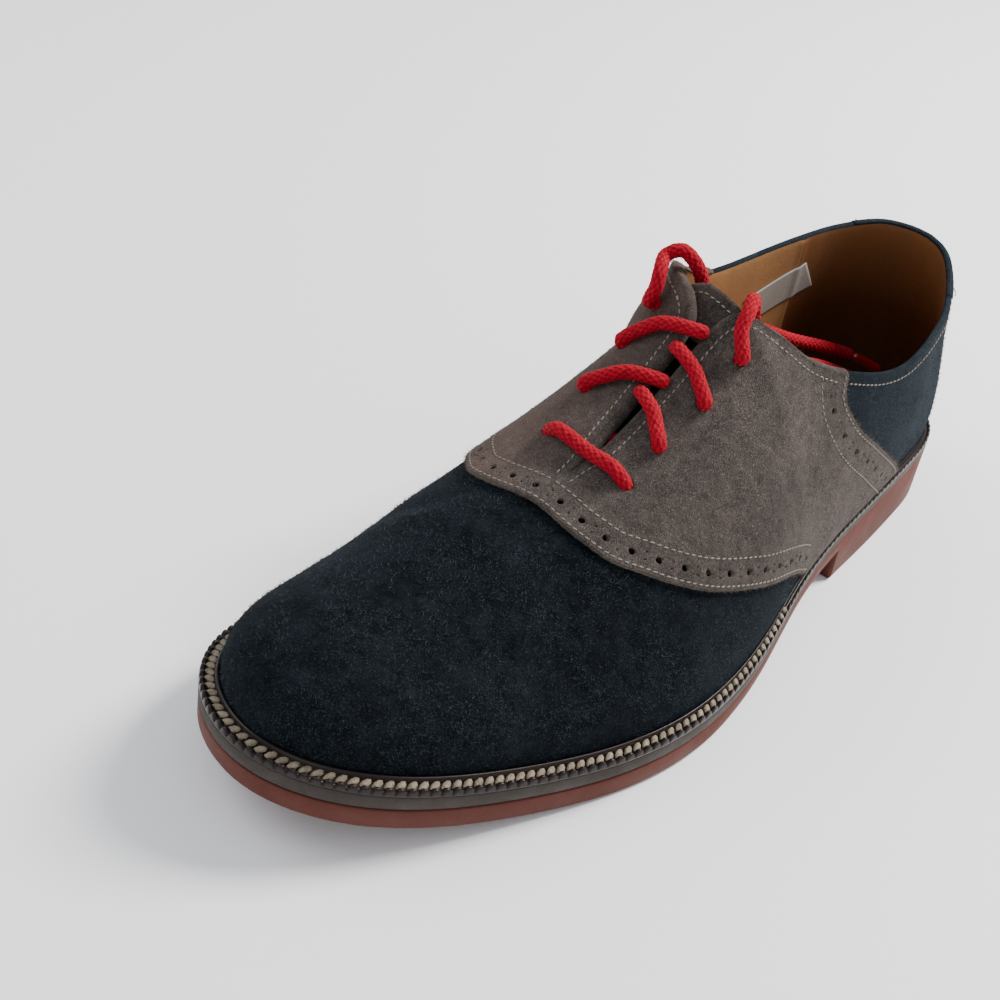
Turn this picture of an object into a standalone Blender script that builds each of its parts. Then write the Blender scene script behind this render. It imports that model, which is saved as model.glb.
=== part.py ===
import bpy
import bmesh
import math
import numpy as np
from mathutils import Vector

# Driving sizes in metres. The toe points towards -Y, +X is the outer side, +Z is up.
SHOE_LENGTH = 0.304
BALL_WIDTH = 0.110
INSTEP_HEIGHT = 0.100
HEEL_CENTRE = 0.036
TOE_TIP_X = -0.0025
TOE_SPRING = 0.0140
SPRING_START = 0.70
SPRING_POWER = 1.8

BREAST_SHARE = 0.285
UPPER_WALL = 0.0022
SADDLE_THICKNESS = 0.0013
STRAP_THICKNESS = 0.0012
SEAT_GAP = 0.0003
LAYER_GAP = 0.0004

OUTLINE_POINTS = 84
UPPER_ROWS = 10

# Sole outline: share of the length from the back of the heel, half widths as shares of the ball width,
# and the margin between the edge of the sole and the foot of the upper in metres.
OUTLINE_COLUMNS = ("share", "lateral", "medial", "lateral_margin", "medial_margin")
OUTLINE_TABLE = (
    (0.035, 0.203, 0.212, 0.0026, 0.0030),
    (0.120, 0.282, 0.275, 0.0026, 0.0030),
    (0.220, 0.325, 0.285, 0.0024, 0.0026),
    (0.360, 0.385, 0.270, 0.0023, 0.0024),
    (0.480, 0.485, 0.315, 0.0030, 0.0028),
    (0.600, 0.546, 0.420, 0.0042, 0.0036),
    (0.700, 0.522, 0.458, 0.0052, 0.0046),
    (0.810, 0.428, 0.425, 0.0056, 0.0052),
    (0.905, 0.316, 0.380, 0.0058, 0.0056),
    (0.972, 0.170, 0.247, 0.0060, 0.0060),
)
TIP_MARGIN = 0.0060
BACK_MARGIN = 0.0028

# By share of the length: height of the top of the midsole, its thickness, height of the sole's lower face.
SEAT_TABLE = ((0.00, 0.0236), (0.20, 0.0224), (0.285, 0.0207), (0.36, 0.0180), (0.45, 0.0147),
              (0.55, 0.0126), (0.65, 0.0122), (1.00, 0.0122))
MIDSOLE_TABLE = ((0.00, 0.0034), (0.285, 0.0030), (0.40, 0.0032), (0.55, 0.0046), (1.00, 0.0050))
ARCH_TABLE = ((0.285, 0.0118), (0.36, 0.0088), (0.45, 0.0046), (0.53, 0.0013), (0.60, 0.0), (1.00, 0.0))

# Cross sections of the upper from the toe tip (station 0) to the back of the heel (station 1).
# foot: share of the length at the sole; crest: share at the ridge, throat edge or topline;
# x and z: crest as shares of the ball width and the instep height; belly, shoulders, drop in metres;
# rise: share of the height of the section; ridge: 1 where both sides meet in one smooth ridge.
SECTION_COLUMNS = ("station", "lateral_foot", "medial_foot", "lateral_crest", "medial_crest",
                   "lateral_x", "medial_x", "lateral_z", "medial_z",
                   "belly", "rise", "lateral_shoulder", "medial_shoulder", "drop", "ridge")
SECTION_TABLE = (
    (0.00, 1.000, 1.000, 0.880, 0.880, -0.026, -0.026, 0.506, 0.506, 0.0030, 0.56, 0.022, 0.022, 0.0, 1.0),
    (0.06, 0.984, 0.984, 0.880, 0.880, -0.026, -0.026, 0.506, 0.506, 0.0030, 0.56, 0.022, 0.022, 0.0, 1.0),
    (0.13, 0.940, 0.940, 0.880, 0.880, -0.026, -0.026, 0.506, 0.506, 0.0028, 0.56, 0.020, 0.020, 0.0, 1.0),
    (0.20, 0.880, 0.880, 0.850, 0.850, -0.020, -0.020, 0.514, 0.514, 0.0026, 0.56, 0.020, 0.020, 0.0, 1.0),
    (0.27, 0.810, 0.815, 0.790, 0.790, -0.010, -0.010, 0.534, 0.534, 0.0026, 0.56, 0.022, 0.022, 0.0, 1.0),
    (0.34, 0.735, 0.745, 0.730, 0.730, 0.006, 0.006, 0.578, 0.578, 0.0028, 0.56, 0.023, 0.024, 0.0, 1.0),
    (0.42, 0.655, 0.670, 0.640, 0.640, 0.024, 0.024, 0.655, 0.655, 0.0033, 0.55, 0.023, 0.027, 0.0, 1.0),
    (0.48, 0.590, 0.605, 0.588, 0.588, 0.046, 0.004, 0.722, 0.728, 0.0040, 0.52, 0.023, 0.028, 0.0020, 0.3),
    (0.54, 0.520, 0.535, 0.525, 0.525, 0.044, -0.012, 0.828, 0.838, 0.0046, 0.48, 0.022, 0.027, 0.0030, 0.0),
    (0.59, 0.462, 0.475, 0.470, 0.470, 0.042, -0.034, 0.945, 0.955, 0.0049, 0.45, 0.019, 0.024, 0.0050, 0.0),
    (0.62, 0.430, 0.440, 0.442, 0.450, 0.072, -0.110, 1.005, 1.030, 0.0052, 0.44, 0.015, 0.019, 0.0080, 0.0),
    (0.65, 0.397, 0.400, 0.416, 0.425, 0.140, -0.190, 0.960, 1.020, 0.0051, 0.43, 0.010, 0.012, 0.0130, 0.0),
    (0.68, 0.363, 0.363, 0.380, 0.385, 0.205, -0.225, 0.870, 0.950, 0.0050, 0.41, 0.008, 0.008, 0.0160, 0.0),
    (0.72, 0.320, 0.320, 0.330, 0.335, 0.257, -0.243, 0.803, 0.893, 0.0046, 0.40, 0.006, 0.006, 0.0180, 0.0),
    (0.80, 0.220, 0.220, 0.232, 0.232, 0.295, -0.270, 0.738, 0.855, 0.0034, 0.38, 0.004, 0.004, 0.0180, 0.0),
    (0.88, 0.120, 0.120, 0.131, 0.131, 0.244, -0.240, 0.776, 0.873, 0.0023, 0.36, 0.002, 0.002, 0.0200, 0.0),
    (0.94, 0.040, 0.040, 0.057, 0.057, 0.128, -0.146, 0.836, 0.895, 0.0017, 0.36, 0.002, 0.002, 0.0220, 0.0),
    (0.97, 0.012, 0.012, 0.039, 0.039, 0.070, -0.080, 0.866, 0.892, 0.0018, 0.36, 0.003, 0.003, 0.0230, 0.0),
    (0.985, 0.004, 0.004, 0.0335, 0.0335, 0.034, -0.042, 0.876, 0.888, 0.0020, 0.36, 0.003, 0.003, 0.0235, 0.0),
    (1.00, 0.000, 0.000, 0.032, 0.032, -0.004, -0.004, 0.885, 0.885, 0.0022, 0.36, 0.004, 0.004, 0.0240, 0.0),
)
THROAT_STATION = 0.42
POLE_STATION = 0.13


def column(table, names, name):
    """One column of a table as an array."""
    place = names.index(name)
    return np.array([row[place] for row in table], float)


def ease(knots, values, at):
    """Smooth monotone curve through the rows of a table."""
    knots = np.asarray(knots, float)
    values = np.asarray(values, float)
    at = np.clip(np.asarray(at, float), knots[0], knots[-1])
    step = np.diff(knots)
    slope = np.diff(values) / step
    tangent = np.zeros(len(knots))
    tangent[0] = slope[0]
    tangent[-1] = slope[-1]
    for i in range(1, len(knots) - 1):
        if slope[i - 1] * slope[i] > 0:
            before = 2 * step[i] + step[i - 1]
            after = step[i] + 2 * step[i - 1]
            tangent[i] = (before + after) / (before / slope[i - 1] + after / slope[i])
    i = np.clip(np.searchsorted(knots, at, side="right") - 1, 0, len(step) - 1)
    h = step[i]
    f = (at - knots[i]) / h
    return ((2 * f**3 - 3 * f**2 + 1) * values[i] + (f**3 - 2 * f**2 + f) * h * tangent[i]
            + (3 * f**2 - 2 * f**3) * values[i + 1] + (f**3 - f**2) * h * tangent[i + 1])


def closed_curve(points, count):
    """Closed cubic curve through points, with its parameter spaced by the root of each chord."""
    points = np.asarray(points, float)
    n = len(points)
    chord = np.sqrt(np.linalg.norm(np.roll(points, -1, 0) - points, axis=1))
    matrix = np.zeros((n, n))
    right = np.zeros(points.shape)
    for i in range(n):
        a = chord[i - 1]
        b = chord[i]
        matrix[i, (i - 1) % n] = a
        matrix[i, i] = 2 * (a + b)
        matrix[i, (i + 1) % n] = b
        right[i] = 6 * ((points[(i + 1) % n] - points[i]) / b - (points[i] - points[i - 1]) / a)
    bend = np.linalg.solve(matrix, right)
    knots = np.concatenate([[0.0], np.cumsum(chord)])
    at = np.linspace(0.0, knots[-1], count, endpoint=False)
    i = np.clip(np.searchsorted(knots, at, side="right") - 1, 0, n - 1)
    j = (i + 1) % n
    h = chord[i][:, None]
    f = (at - knots[i])[:, None]
    g = h - f
    return (bend[i] * g**3 / (6 * h) + bend[j] * f**3 / (6 * h)
            + (points[i] / h - bend[i] * h / 6) * g + (points[j] / h - bend[j] * h / 6) * f)


def sole_loop():
    """Edge of the sole from the toe tip round by the outer side; columns x, share, margin."""
    share = column(OUTLINE_TABLE, OUTLINE_COLUMNS, "share")
    lateral = column(OUTLINE_TABLE, OUTLINE_COLUMNS, "lateral") * BALL_WIDTH
    medial = column(OUTLINE_TABLE, OUTLINE_COLUMNS, "medial") * BALL_WIDTH
    lateral_margin = column(OUTLINE_TABLE, OUTLINE_COLUMNS, "lateral_margin")
    medial_margin = column(OUTLINE_TABLE, OUTLINE_COLUMNS, "medial_margin")
    points = [(TOE_TIP_X, SHOE_LENGTH, TIP_MARGIN)]
    points += [(lateral[k], share[k] * SHOE_LENGTH, lateral_margin[k]) for k in reversed(range(len(share)))]
    points += [(0.0, 0.0, BACK_MARGIN)]
    points += [(-medial[k], share[k] * SHOE_LENGTH, medial_margin[k]) for k in range(len(share))]
    return closed_curve(points, 640)


def side_of(loop, side):
    """Half of the loop from the toe tip to the back of the heel, with distance along it."""
    tip = int(np.argmax(loop[:, 1]))
    loop = np.roll(loop, -tip, 0)
    back = int(np.argmin(loop[:, 1]))
    if side > 0:
        half = loop[:back + 1]
    else:
        half = np.concatenate([loop[:1], loop[back:][::-1]])
    along = np.concatenate([[0.0], np.cumsum(np.linalg.norm(np.diff(half[:, :2], axis=0), axis=1))])
    return half, along


SOLE = sole_loop()
SIDES = {1: side_of(SOLE, 1), -1: side_of(SOLE, -1)}


def along_at(side, share):
    """Distance along one side of the sole's edge at a share of the length."""
    half, along = SIDES[side]
    share = np.asarray(share, float)
    distance = np.interp(-share * SHOE_LENGTH, -half[:, 1], along)
    return np.where(share >= 1.0, 0.0, np.where(share <= 0.0, along[-1], distance))


def edge_at(side, distance, extra=0.0, inset=0.0):
    """Points of the sole's edge moved in by a share of the margin and an inset, with outward normals."""
    half, along = SIDES[side]
    distance = np.asarray(distance, float)
    step = 0.0015
    near = np.stack([np.interp(distance, along, half[:, k]) for k in range(3)], -1)
    low = np.clip(distance - step, 0, along[-1])
    high = np.clip(distance + step, 0, along[-1])
    ahead = np.stack([np.interp(high, along, half[:, k]) - np.interp(low, along, half[:, k])
                      for k in range(2)], -1)
    ahead[distance < step] = (side, 0.0)
    ahead[distance > along[-1] - step] = (-side, 0.0)
    ahead /= np.linalg.norm(ahead, axis=1)[:, None]
    outward = np.stack([-ahead[:, 1], ahead[:, 0]], -1) * side
    place = near[:, :2] - outward * (near[:, 2] * extra + inset)[:, None]
    return place, outward


def spring_at(share):
    """Lift of the toe over the floor."""
    return TOE_SPRING * np.clip((np.asarray(share) - SPRING_START) / (1 - SPRING_START), 0, 1)**SPRING_POWER


def seat_at(share):
    """Height of the top of the midsole."""
    rows = np.array(SEAT_TABLE)
    return ease(rows[:, 0], rows[:, 1], share) + spring_at(share)


def under_at(share):
    """Height of the lower face of the sole in front of the heel."""
    rows = np.array(ARCH_TABLE)
    return ease(rows[:, 0], rows[:, 1], share) + spring_at(share)


def section_values(name, station):
    return ease(column(SECTION_TABLE, SECTION_COLUMNS, "station"),
                column(SECTION_TABLE, SECTION_COLUMNS, name), station)


def crest_values(word, name, station):
    """Crest of one side, shared by both sides in front of the throat."""
    own = section_values(word + name, station)
    both = (section_values("lateral" + name, station) + section_values("medial" + name, station)) / 2
    return np.where(station <= THROAT_STATION, both, own)


def foot_distance(side, station):
    """Distance along the sole's edge of a station of the upper."""
    name = "lateral_foot" if side > 0 else "medial_foot"
    rows = along_at(side, column(SECTION_TABLE, SECTION_COLUMNS, name))
    return ease(column(SECTION_TABLE, SECTION_COLUMNS, "station"), rows, station)


def ridge_slope(station):
    """Rise of the crest line per metre towards the toe."""
    step = 0.004
    low = np.clip(station - step, POLE_STATION + step, 1)
    high = np.clip(station + step, POLE_STATION + 3 * step, 1)
    rise = (section_values("lateral_z", high) - section_values("lateral_z", low)) * INSTEP_HEIGHT
    run = (section_values("lateral_crest", high) - section_values("lateral_crest", low)) * SHOE_LENGTH
    return rise / run


def upper_point(side, station, height):
    """Outer face of the upper: x, y, z for stations and heights (0 foot to 1 crest)."""
    station, height = np.broadcast_arrays(np.asarray(station, float), np.asarray(height, float))
    shape = station.shape
    station = station.ravel()
    height = height.ravel()[:, None]
    foot, outward = edge_at(side, foot_distance(side, station), 1.0)
    share = foot[:, 1] / SHOE_LENGTH
    foot_z = seat_at(share) + SEAT_GAP
    word = "lateral" if side > 0 else "medial"
    crest_x = crest_values(word, "_x", station) * BALL_WIDTH
    crest_s = crest_values(word, "_crest", station) * SHOE_LENGTH
    crest_z = crest_values(word, "_z", station) * INSTEP_HEIGHT
    belly = section_values("belly", station)
    rise = section_values("rise", station)
    shoulder = section_values(word + "_shoulder", station)
    drop = section_values("drop", station)
    ridge = section_values("ridge", station)
    flat = foot - np.stack([crest_x, crest_s], -1)
    flat /= np.linalg.norm(flat, axis=1)[:, None]
    zero = np.stack([foot[:, 0], foot[:, 1], foot_z], -1)
    three = np.stack([crest_x, crest_s, crest_z], -1)
    one = zero.copy()
    one[:, :2] += outward * belly[:, None]
    one[:, 2] += rise * (crest_z - foot_z)
    two = three.copy()
    two[:, :2] += flat * shoulder[:, None]
    two[:, 2] += ridge * ridge_slope(station) * flat[:, 1] * shoulder - drop
    place = (zero * (1 - height)**3 + one * 3 * height * (1 - height)**2
             + two * 3 * height**2 * (1 - height) + three * height**3)
    place = np.stack([place[:, 0], HEEL_CENTRE - place[:, 1], place[:, 2]], -1)
    return place.reshape(shape + (3,))


def upper_normal(side, station, height):
    """Outward unit normals of the upper's outer face."""
    station, height = np.broadcast_arrays(np.asarray(station, float), np.asarray(height, float))
    step = 0.003
    east = upper_point(side, np.clip(station + step, 0, 1), height)
    west = upper_point(side, np.clip(station - step, 0, 1), height)
    high = upper_point(side, station, np.clip(height + step, 0, 1))
    low = upper_point(side, station, np.clip(height - step, 0, 1))
    normal = np.cross(east - west, high - low) * side
    return normal / np.linalg.norm(normal, axis=-1)[..., None]


def over_upper(side, station, height, lift):
    """Points at a distance from the upper's outer face."""
    return upper_point(side, station, height) + upper_normal(side, station, height) * lift


# Edges of the saddle overlay: station at each height of the upper, front and rear.
SADDLE_FRONT = ((0.00, 0.690), (0.08, 0.647), (0.16, 0.606), (0.27, 0.545), (0.42, 0.474), (0.54, 0.430),
                (0.68, 0.398), (0.85, 0.386), (1.00, 0.384))
SADDLE_REAR = ((0.00, 0.856), (0.12, 0.838), (0.30, 0.806), (0.54, 0.763), (0.74, 0.722), (0.86, 0.713),
               (1.00, 0.718))
SADDLE_FOOT = 0.05
BLADE_REACH = 0.0045
# Half width of the back strap in stations at each height.
STRAP_TABLE = ((0.06, 0.022), (0.50, 0.020), (0.72, 0.026), (0.86, 0.052), (1.00, 0.090))
# Eyelets: pair, station and height on the outer side, station and height on the inner side.
EYELET_COLUMNS = ("pair", "lateral_station", "lateral_height", "medial_station", "medial_height")
EYELET_TABLE = (
    (1, 0.457, 0.841, 0.466, 0.818),
    (2, 0.503, 0.866, 0.518, 0.815),
    (3, 0.553, 0.848, 0.566, 0.795),
    (4, 0.598, 0.842, 0.603, 0.836),
)
EYELET_RADIUS = 0.0025
LACE_RADIUS = 0.0019
LACE_LIFT = 0.0005
LACE_STEP = 0.0040
LACE_END_STEP = 0.0065
# Lace ends: over the flap (station, height, extra lift), then points inside the shoe in metres.
MEDIAL_OVER = ((0.610, 0.895, 0.0014), (0.618, 0.935, 0.0024))
MEDIAL_END = ((-0.0214, -0.0992, 0.1066), (-0.0182, -0.0957, 0.1088), (-0.0140, -0.0930, 0.1050),
              (-0.0122, -0.0900, 0.0985), (-0.0115, -0.0850, 0.0900), (-0.0130, -0.0740, 0.0800),
              (-0.0175, -0.0560, 0.0700), (-0.0190, -0.0400, 0.0640), (-0.0160, -0.0210, 0.0550),
              (-0.0120, -0.0030, 0.0480), (-0.0070, 0.0110, 0.0420), (0.0000, 0.0200, 0.0370))
LATERAL_OVER = ((0.609, 0.925, 0.0012), (0.619, 0.985, 0.0014))
LATERAL_END = ((0.0075, -0.0935, 0.1045), (0.0068, -0.0895, 0.0965), (0.0060, -0.0850, 0.0870),
               (0.0030, -0.0740, 0.0750), (-0.0030, -0.0480, 0.0610), (-0.0070, -0.0210, 0.0500),
               (-0.0060, -0.0040, 0.0420), (0.0000, 0.0080, 0.0360), (0.0080, 0.0160, 0.0320))
TONGUE_THICKNESS = 0.0026
INSOLE_THICKNESS = 0.0030


def reset_scene():
    for item in list(bpy.data.objects):
        bpy.data.objects.remove(item, do_unlink=True)
    for group in list(bpy.data.collections):
        bpy.data.collections.remove(group)
    shoe = bpy.data.collections.new("saddle_shoe")
    cutters = bpy.data.collections.new("cutters")
    bpy.context.scene.collection.children.link(shoe)
    bpy.context.scene.collection.children.link(cutters)
    return shoe, cutters


def paint(name, colour, roughness):
    material = bpy.data.materials.new(name)
    material.use_nodes = True
    shader = material.node_tree.nodes["Principled BSDF"]
    shader.inputs["Base Color"].default_value = (*colour, 1.0)
    shader.inputs["Roughness"].default_value = roughness
    return material


def add_object(name, mesh_data, group, colour, roughness, smooth=True):
    item = bpy.data.objects.new(name, mesh_data)
    group.objects.link(item)
    item.data.materials.append(paint(name, colour, roughness))
    for face in item.data.polygons:
        face.use_smooth = smooth
    return item


def mesh_from(name, build):
    mesh_data = bpy.data.meshes.new(name)
    build.to_mesh(mesh_data)
    build.free()
    return mesh_data


def add_grid(build, points):
    """Quads over a grid of points (rows, columns, 3)."""
    rows, columns = points.shape[:2]
    made = [[build.verts.new(points[i, j]) for j in range(columns)] for i in range(rows)]
    for i in range(rows - 1):
        for j in range(columns - 1):
            build.faces.new((made[i][j], made[i + 1][j], made[i + 1][j + 1], made[i][j + 1]))


def close_shell(build, wall, flat_foot=False):
    """Turn an open sheet into a solid by a second sheet inside it and a rim between them."""
    bmesh.ops.remove_doubles(build, verts=build.verts[:], dist=0.00002)
    bmesh.ops.triangulate(build, faces=build.faces[:], quad_method="FIXED")
    bmesh.ops.recalc_face_normals(build, faces=build.faces[:])
    build.normal_update()
    lowest = min(build.verts, key=lambda vert: vert.co.y)
    if lowest.normal.y > 0:
        bmesh.ops.reverse_faces(build, faces=build.faces[:])
        build.normal_update()
    outer = build.verts[:]
    faces = build.faces[:]
    edges = [edge for edge in build.edges if edge.is_boundary]
    foot = set()
    if flat_foot:
        start = min((edge.verts[0] for edge in edges), key=lambda vert: vert.co.y)
        waiting = [start]
        while waiting:
            vert = waiting.pop()
            if vert in foot:
                continue
            foot.add(vert)
            waiting += [edge.other_vert(vert) for edge in vert.link_edges if edge.is_boundary]
    inner = {}
    for vert in outer:
        normal = vert.normal.copy()
        if vert in foot:
            normal.z = 0.0
            normal.normalize()
        inner[vert] = build.verts.new(vert.co - normal * wall)
    for face in faces:
        build.faces.new([inner[vert] for vert in reversed(face.verts[:])])
    for edge in edges:
        a, b = edge.verts
        build.faces.new((a, b, inner[b], inner[a]))
    bmesh.ops.recalc_face_normals(build, faces=build.faces[:])


def stations_for_upper():
    """Stations of the columns, closer round the toe and the top corner of the throat."""
    toe = np.linspace(0.0, THROAT_STATION, 14)
    throat = np.linspace(THROAT_STATION, 0.57, 7)[1:]
    corner = np.linspace(0.57, 0.69, 9)[1:]
    rear = np.array([0.72, 0.755, 0.79, 0.825, 0.86, 0.895, 0.925, 0.95, 0.97, 0.985, 1.0])
    return np.concatenate([toe, throat, corner, rear])


def make_upper(shoe, cutters):
    build = bmesh.new()
    stations = stations_for_upper()
    heights = np.linspace(0.0, 1.0, UPPER_ROWS + 1)
    for side in (1, -1):
        add_grid(build, upper_point(side, stations[:, None], heights[None, :]))
    close_shell(build, UPPER_WALL, flat_foot=True)
    item = add_object("upper", mesh_from("upper", build), shoe, (0.012, 0.022, 0.040), 0.85)
    cut(item, cutters)
    return item


def add_blade(name, cutters, rows, heights, far_station, extend):
    """Thick sheet that cuts a shell off along one edge line of the saddle."""
    build = bmesh.new()
    edge = ease(*zip(*rows), heights)
    shares = np.linspace(0.0, 1.0, 12)
    stations = edge[None, :] + (far_station - edge)[None, :] * shares[:, None]
    for side in (1, -1):
        points = over_upper(side, stations, heights[None, :], BLADE_REACH)
        if extend:
            top = points[:, -1] + (points[:, -1] - points[:, -2]) * 0.6
            points = np.concatenate([points, top[:, None]], axis=1)
        else:
            middle = (over_upper(1, stations[:, -1], 1.0, BLADE_REACH)
                      + over_upper(-1, stations[:, -1], 1.0, BLADE_REACH)) / 2
            points[:, -1] = middle
        add_grid(build, points)
    bmesh.ops.remove_doubles(build, verts=build.verts[:], dist=0.00002)
    bmesh.ops.recalc_face_normals(build, faces=build.faces[:])
    build.normal_update()
    point_outward(build)
    shell_from_normals(build, 2 * BLADE_REACH)
    item = bpy.data.objects.new(name, mesh_from(name, build))
    cutters.objects.link(item)
    item.hide_render = True
    item.display_type = "WIRE"


def point_outward(build):
    """Turn each loose part of a sheet so its faces look away from the middle of the shoe."""
    waiting = set(build.faces)
    while waiting:
        part = {waiting.pop()}
        edge_faces = list(part)
        while edge_faces:
            face = edge_faces.pop()
            for edge in face.edges:
                for other in edge.link_faces:
                    if other in waiting:
                        waiting.remove(other)
                        part.add(other)
                        edge_faces.append(other)
        score = sum(face.normal.x * face.calc_center_median().x for face in part)
        if score < 0:
            bmesh.ops.reverse_faces(build, faces=list(part))
    build.normal_update()


def make_saddle(shoe, cutters):
    """Overlay across both sides, joined in front of the throat, cut from a shell over the upper."""
    blade_heights = np.linspace(0.0, 1.0, 15)
    add_blade("front_blade", cutters, SADDLE_FRONT, blade_heights, 0.34, False)
    add_blade("rear_blade", cutters, SADDLE_REAR, blade_heights, 0.93, True)
    build = bmesh.new()
    stations = stations_for_upper()
    stations = stations[(stations > 0.36) & (stations < 0.90)]
    heights = np.linspace(0.0, 1.0, UPPER_ROWS + 1)
    heights = np.concatenate([[SADDLE_FOOT], heights[1:]])
    for side in (1, -1):
        add_grid(build, upper_point(side, stations[:, None], heights[None, :]))
    bmesh.ops.remove_doubles(build, verts=build.verts[:], dist=0.00002)
    bmesh.ops.triangulate(build, faces=build.faces[:], quad_method="FIXED")
    bmesh.ops.recalc_face_normals(build, faces=build.faces[:])
    point_outward(build)
    for vert, normal in [(vert, vert.normal.copy()) for vert in build.verts]:
        vert.co += normal * (LAYER_GAP + SADDLE_THICKNESS)
    shell_from_normals(build, SADDLE_THICKNESS)
    item = add_object("saddle", mesh_from("saddle", build), shoe, (0.115, 0.095, 0.085), 0.9)
    for name in ("front_blade", "rear_blade"):
        modifier = item.modifiers.new(name, "BOOLEAN")
        modifier.operation = "DIFFERENCE"
        modifier.solver = "EXACT"
        modifier.object = cutters.objects[name]
    cut(item, cutters)
    return item


def make_back_strap(shoe):
    build = bmesh.new()
    heights = np.array([0.06, 0.2, 0.35, 0.5, 0.62, 0.72, 0.80, 0.86, 0.92, 1.0])
    width = ease(*zip(*STRAP_TABLE), heights)
    shares = np.linspace(0.0, 1.0, 7)
    stations = 1.0 - width[None, :] * shares[:, None]
    lift = LAYER_GAP + STRAP_THICKNESS
    for side in (1, -1):
        points = over_upper(side, stations, heights[None, :], lift)
        middle = (over_upper(1, 1.0, heights, lift) + over_upper(-1, 1.0, heights, lift)) / 2
        points[0] = middle
        add_grid(build, points)
    bmesh.ops.remove_doubles(build, verts=build.verts[:], dist=0.00002)
    bmesh.ops.recalc_face_normals(build, faces=build.faces[:])
    build.normal_update()
    if max(build.verts, key=lambda vert: vert.co.y).normal.y < 0:
        bmesh.ops.reverse_faces(build, faces=build.faces[:])
    build.normal_update()
    shell_from_normals(build, STRAP_THICKNESS)
    return add_object("back_strap", mesh_from("back_strap", build), shoe, (0.016, 0.026, 0.044), 0.8)


def shell_from_normals(build, wall):
    """Second sheet behind an open sheet whose normals already point out."""
    outer = build.verts[:]
    faces = build.faces[:]
    edges = [edge for edge in build.edges if edge.is_boundary]
    inner = {vert: build.verts.new(vert.co - vert.normal * wall) for vert in outer}
    for face in faces:
        build.faces.new([inner[vert] for vert in reversed(face.verts[:])])
    for edge in edges:
        a, b = edge.verts
        build.faces.new((a, b, inner[b], inner[a]))
    bmesh.ops.recalc_face_normals(build, faces=build.faces[:])


def make_tongue(shoe):
    """Tongue under the throat, taken from the upper's own function, with a free top end."""
    build = bmesh.new()
    stations = np.linspace(0.37, 0.595, 11)
    foot = ease((0.37, 0.50, 0.60), (0.62, 0.66, 0.80), stations)
    heights = foot[:, None] + (1.0 - foot)[:, None] * np.linspace(0.0, 1.0, 5)[None, :]
    depth = -(UPPER_WALL + 3 * SEAT_GAP)
    lateral = over_upper(1, stations[:, None], heights, depth)
    medial = over_upper(-1, stations[:, None], heights, depth)
    middle = (lateral[:, -1:] + medial[:, -1:]) / 2
    points = np.concatenate([medial[:, :-1], middle, lateral[:, ::-1][:, 1:]], axis=1)
    run = points[-1] - points[-3]
    run /= np.linalg.norm(run, axis=1)[:, None]
    across = np.linspace(-1.0, 1.0, points.shape[1])
    for reach in (0.004, 0.008, 0.0115):
        shrink = 1.0 - 0.22 * (reach / 0.0115) * np.abs(across)**3
        row = points[10] + run.mean(0) * (reach * shrink)[:, None]
        points = np.concatenate([points, row[None]], axis=0)
    add_grid(build, points)
    bmesh.ops.recalc_face_normals(build, faces=build.faces[:])
    build.normal_update()
    if build.faces[0].normal.z + build.faces[-1].normal.z < 0:
        bmesh.ops.reverse_faces(build, faces=build.faces[:])
    build.normal_update()
    shell_from_normals(build, TONGUE_THICKNESS)
    return add_object("tongue", mesh_from("tongue", build), shoe, (0.12, 0.10, 0.09), 0.9)


def eyelet_place(side, row, lift):
    """Centre and outward direction of one eyelet."""
    word = "lateral" if side > 0 else "medial"
    station = row[EYELET_COLUMNS.index(word + "_station")]
    height = row[EYELET_COLUMNS.index(word + "_height")]
    normal = upper_normal(side, station, height)
    return upper_point(side, station, height) + normal * lift, normal


def make_cutter(cutters):
    """Round punches for the eyelets."""
    build = bmesh.new()
    for row in EYELET_TABLE:
        for side in (1, -1):
            place, normal = eyelet_place(side, row, 0.0)
            turn = Vector((0, 0, 1)).rotation_difference(Vector(normal)).to_matrix().to_4x4()
            turn.translation = Vector(place)
            bmesh.ops.create_cone(build, cap_ends=True, segments=12, radius1=EYELET_RADIUS,
                                  radius2=EYELET_RADIUS, depth=0.012, matrix=turn)
    item = bpy.data.objects.new("eyelet_punches", mesh_from("eyelet_punches", build))
    cutters.objects.link(item)
    item.hide_render = True
    item.display_type = "WIRE"
    return item


def cut(item, cutters):
    modifier = item.modifiers.new("eyelets", "BOOLEAN")
    modifier.operation = "DIFFERENCE"
    modifier.solver = "EXACT"
    modifier.object = cutters.objects["eyelet_punches"]


def share_rows():
    """Shares of the length for the sole's strips, close at both ends and at the breast."""
    turn = np.linspace(0.0, math.pi, OUTLINE_POINTS // 2 + 1)[1:-1]
    shares = (1 - np.cos(turn)) / 2
    keep = np.abs(shares - BREAST_SHARE) > 0.009
    return np.sort(np.concatenate([shares[keep], [BREAST_SHARE - 0.0012, BREAST_SHARE + 0.0012]]))


def loop_points(shares, extra, inset, height):
    """Closed loop of points at a height function, heel back, outer side, toe tip, inner side."""
    rings = []
    for side, order in ((1, 1), (-1, -1)):
        place, outward = edge_at(side, along_at(side, shares), extra, inset)
        level = height(shares)
        rings.append(np.stack([place[:, 0], HEEL_CENTRE - place[:, 1], level], -1)[::order])
    ends = []
    for share in (0.0, 1.0):
        place, outward = edge_at(1, along_at(1, np.array([share])), extra, inset)
        ends.append(np.array([[place[0, 0], HEEL_CENTRE - place[0, 1], float(height(np.array([share]))[0])]]))
    return np.concatenate([ends[0], rings[0], ends[1], rings[1]])


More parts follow.
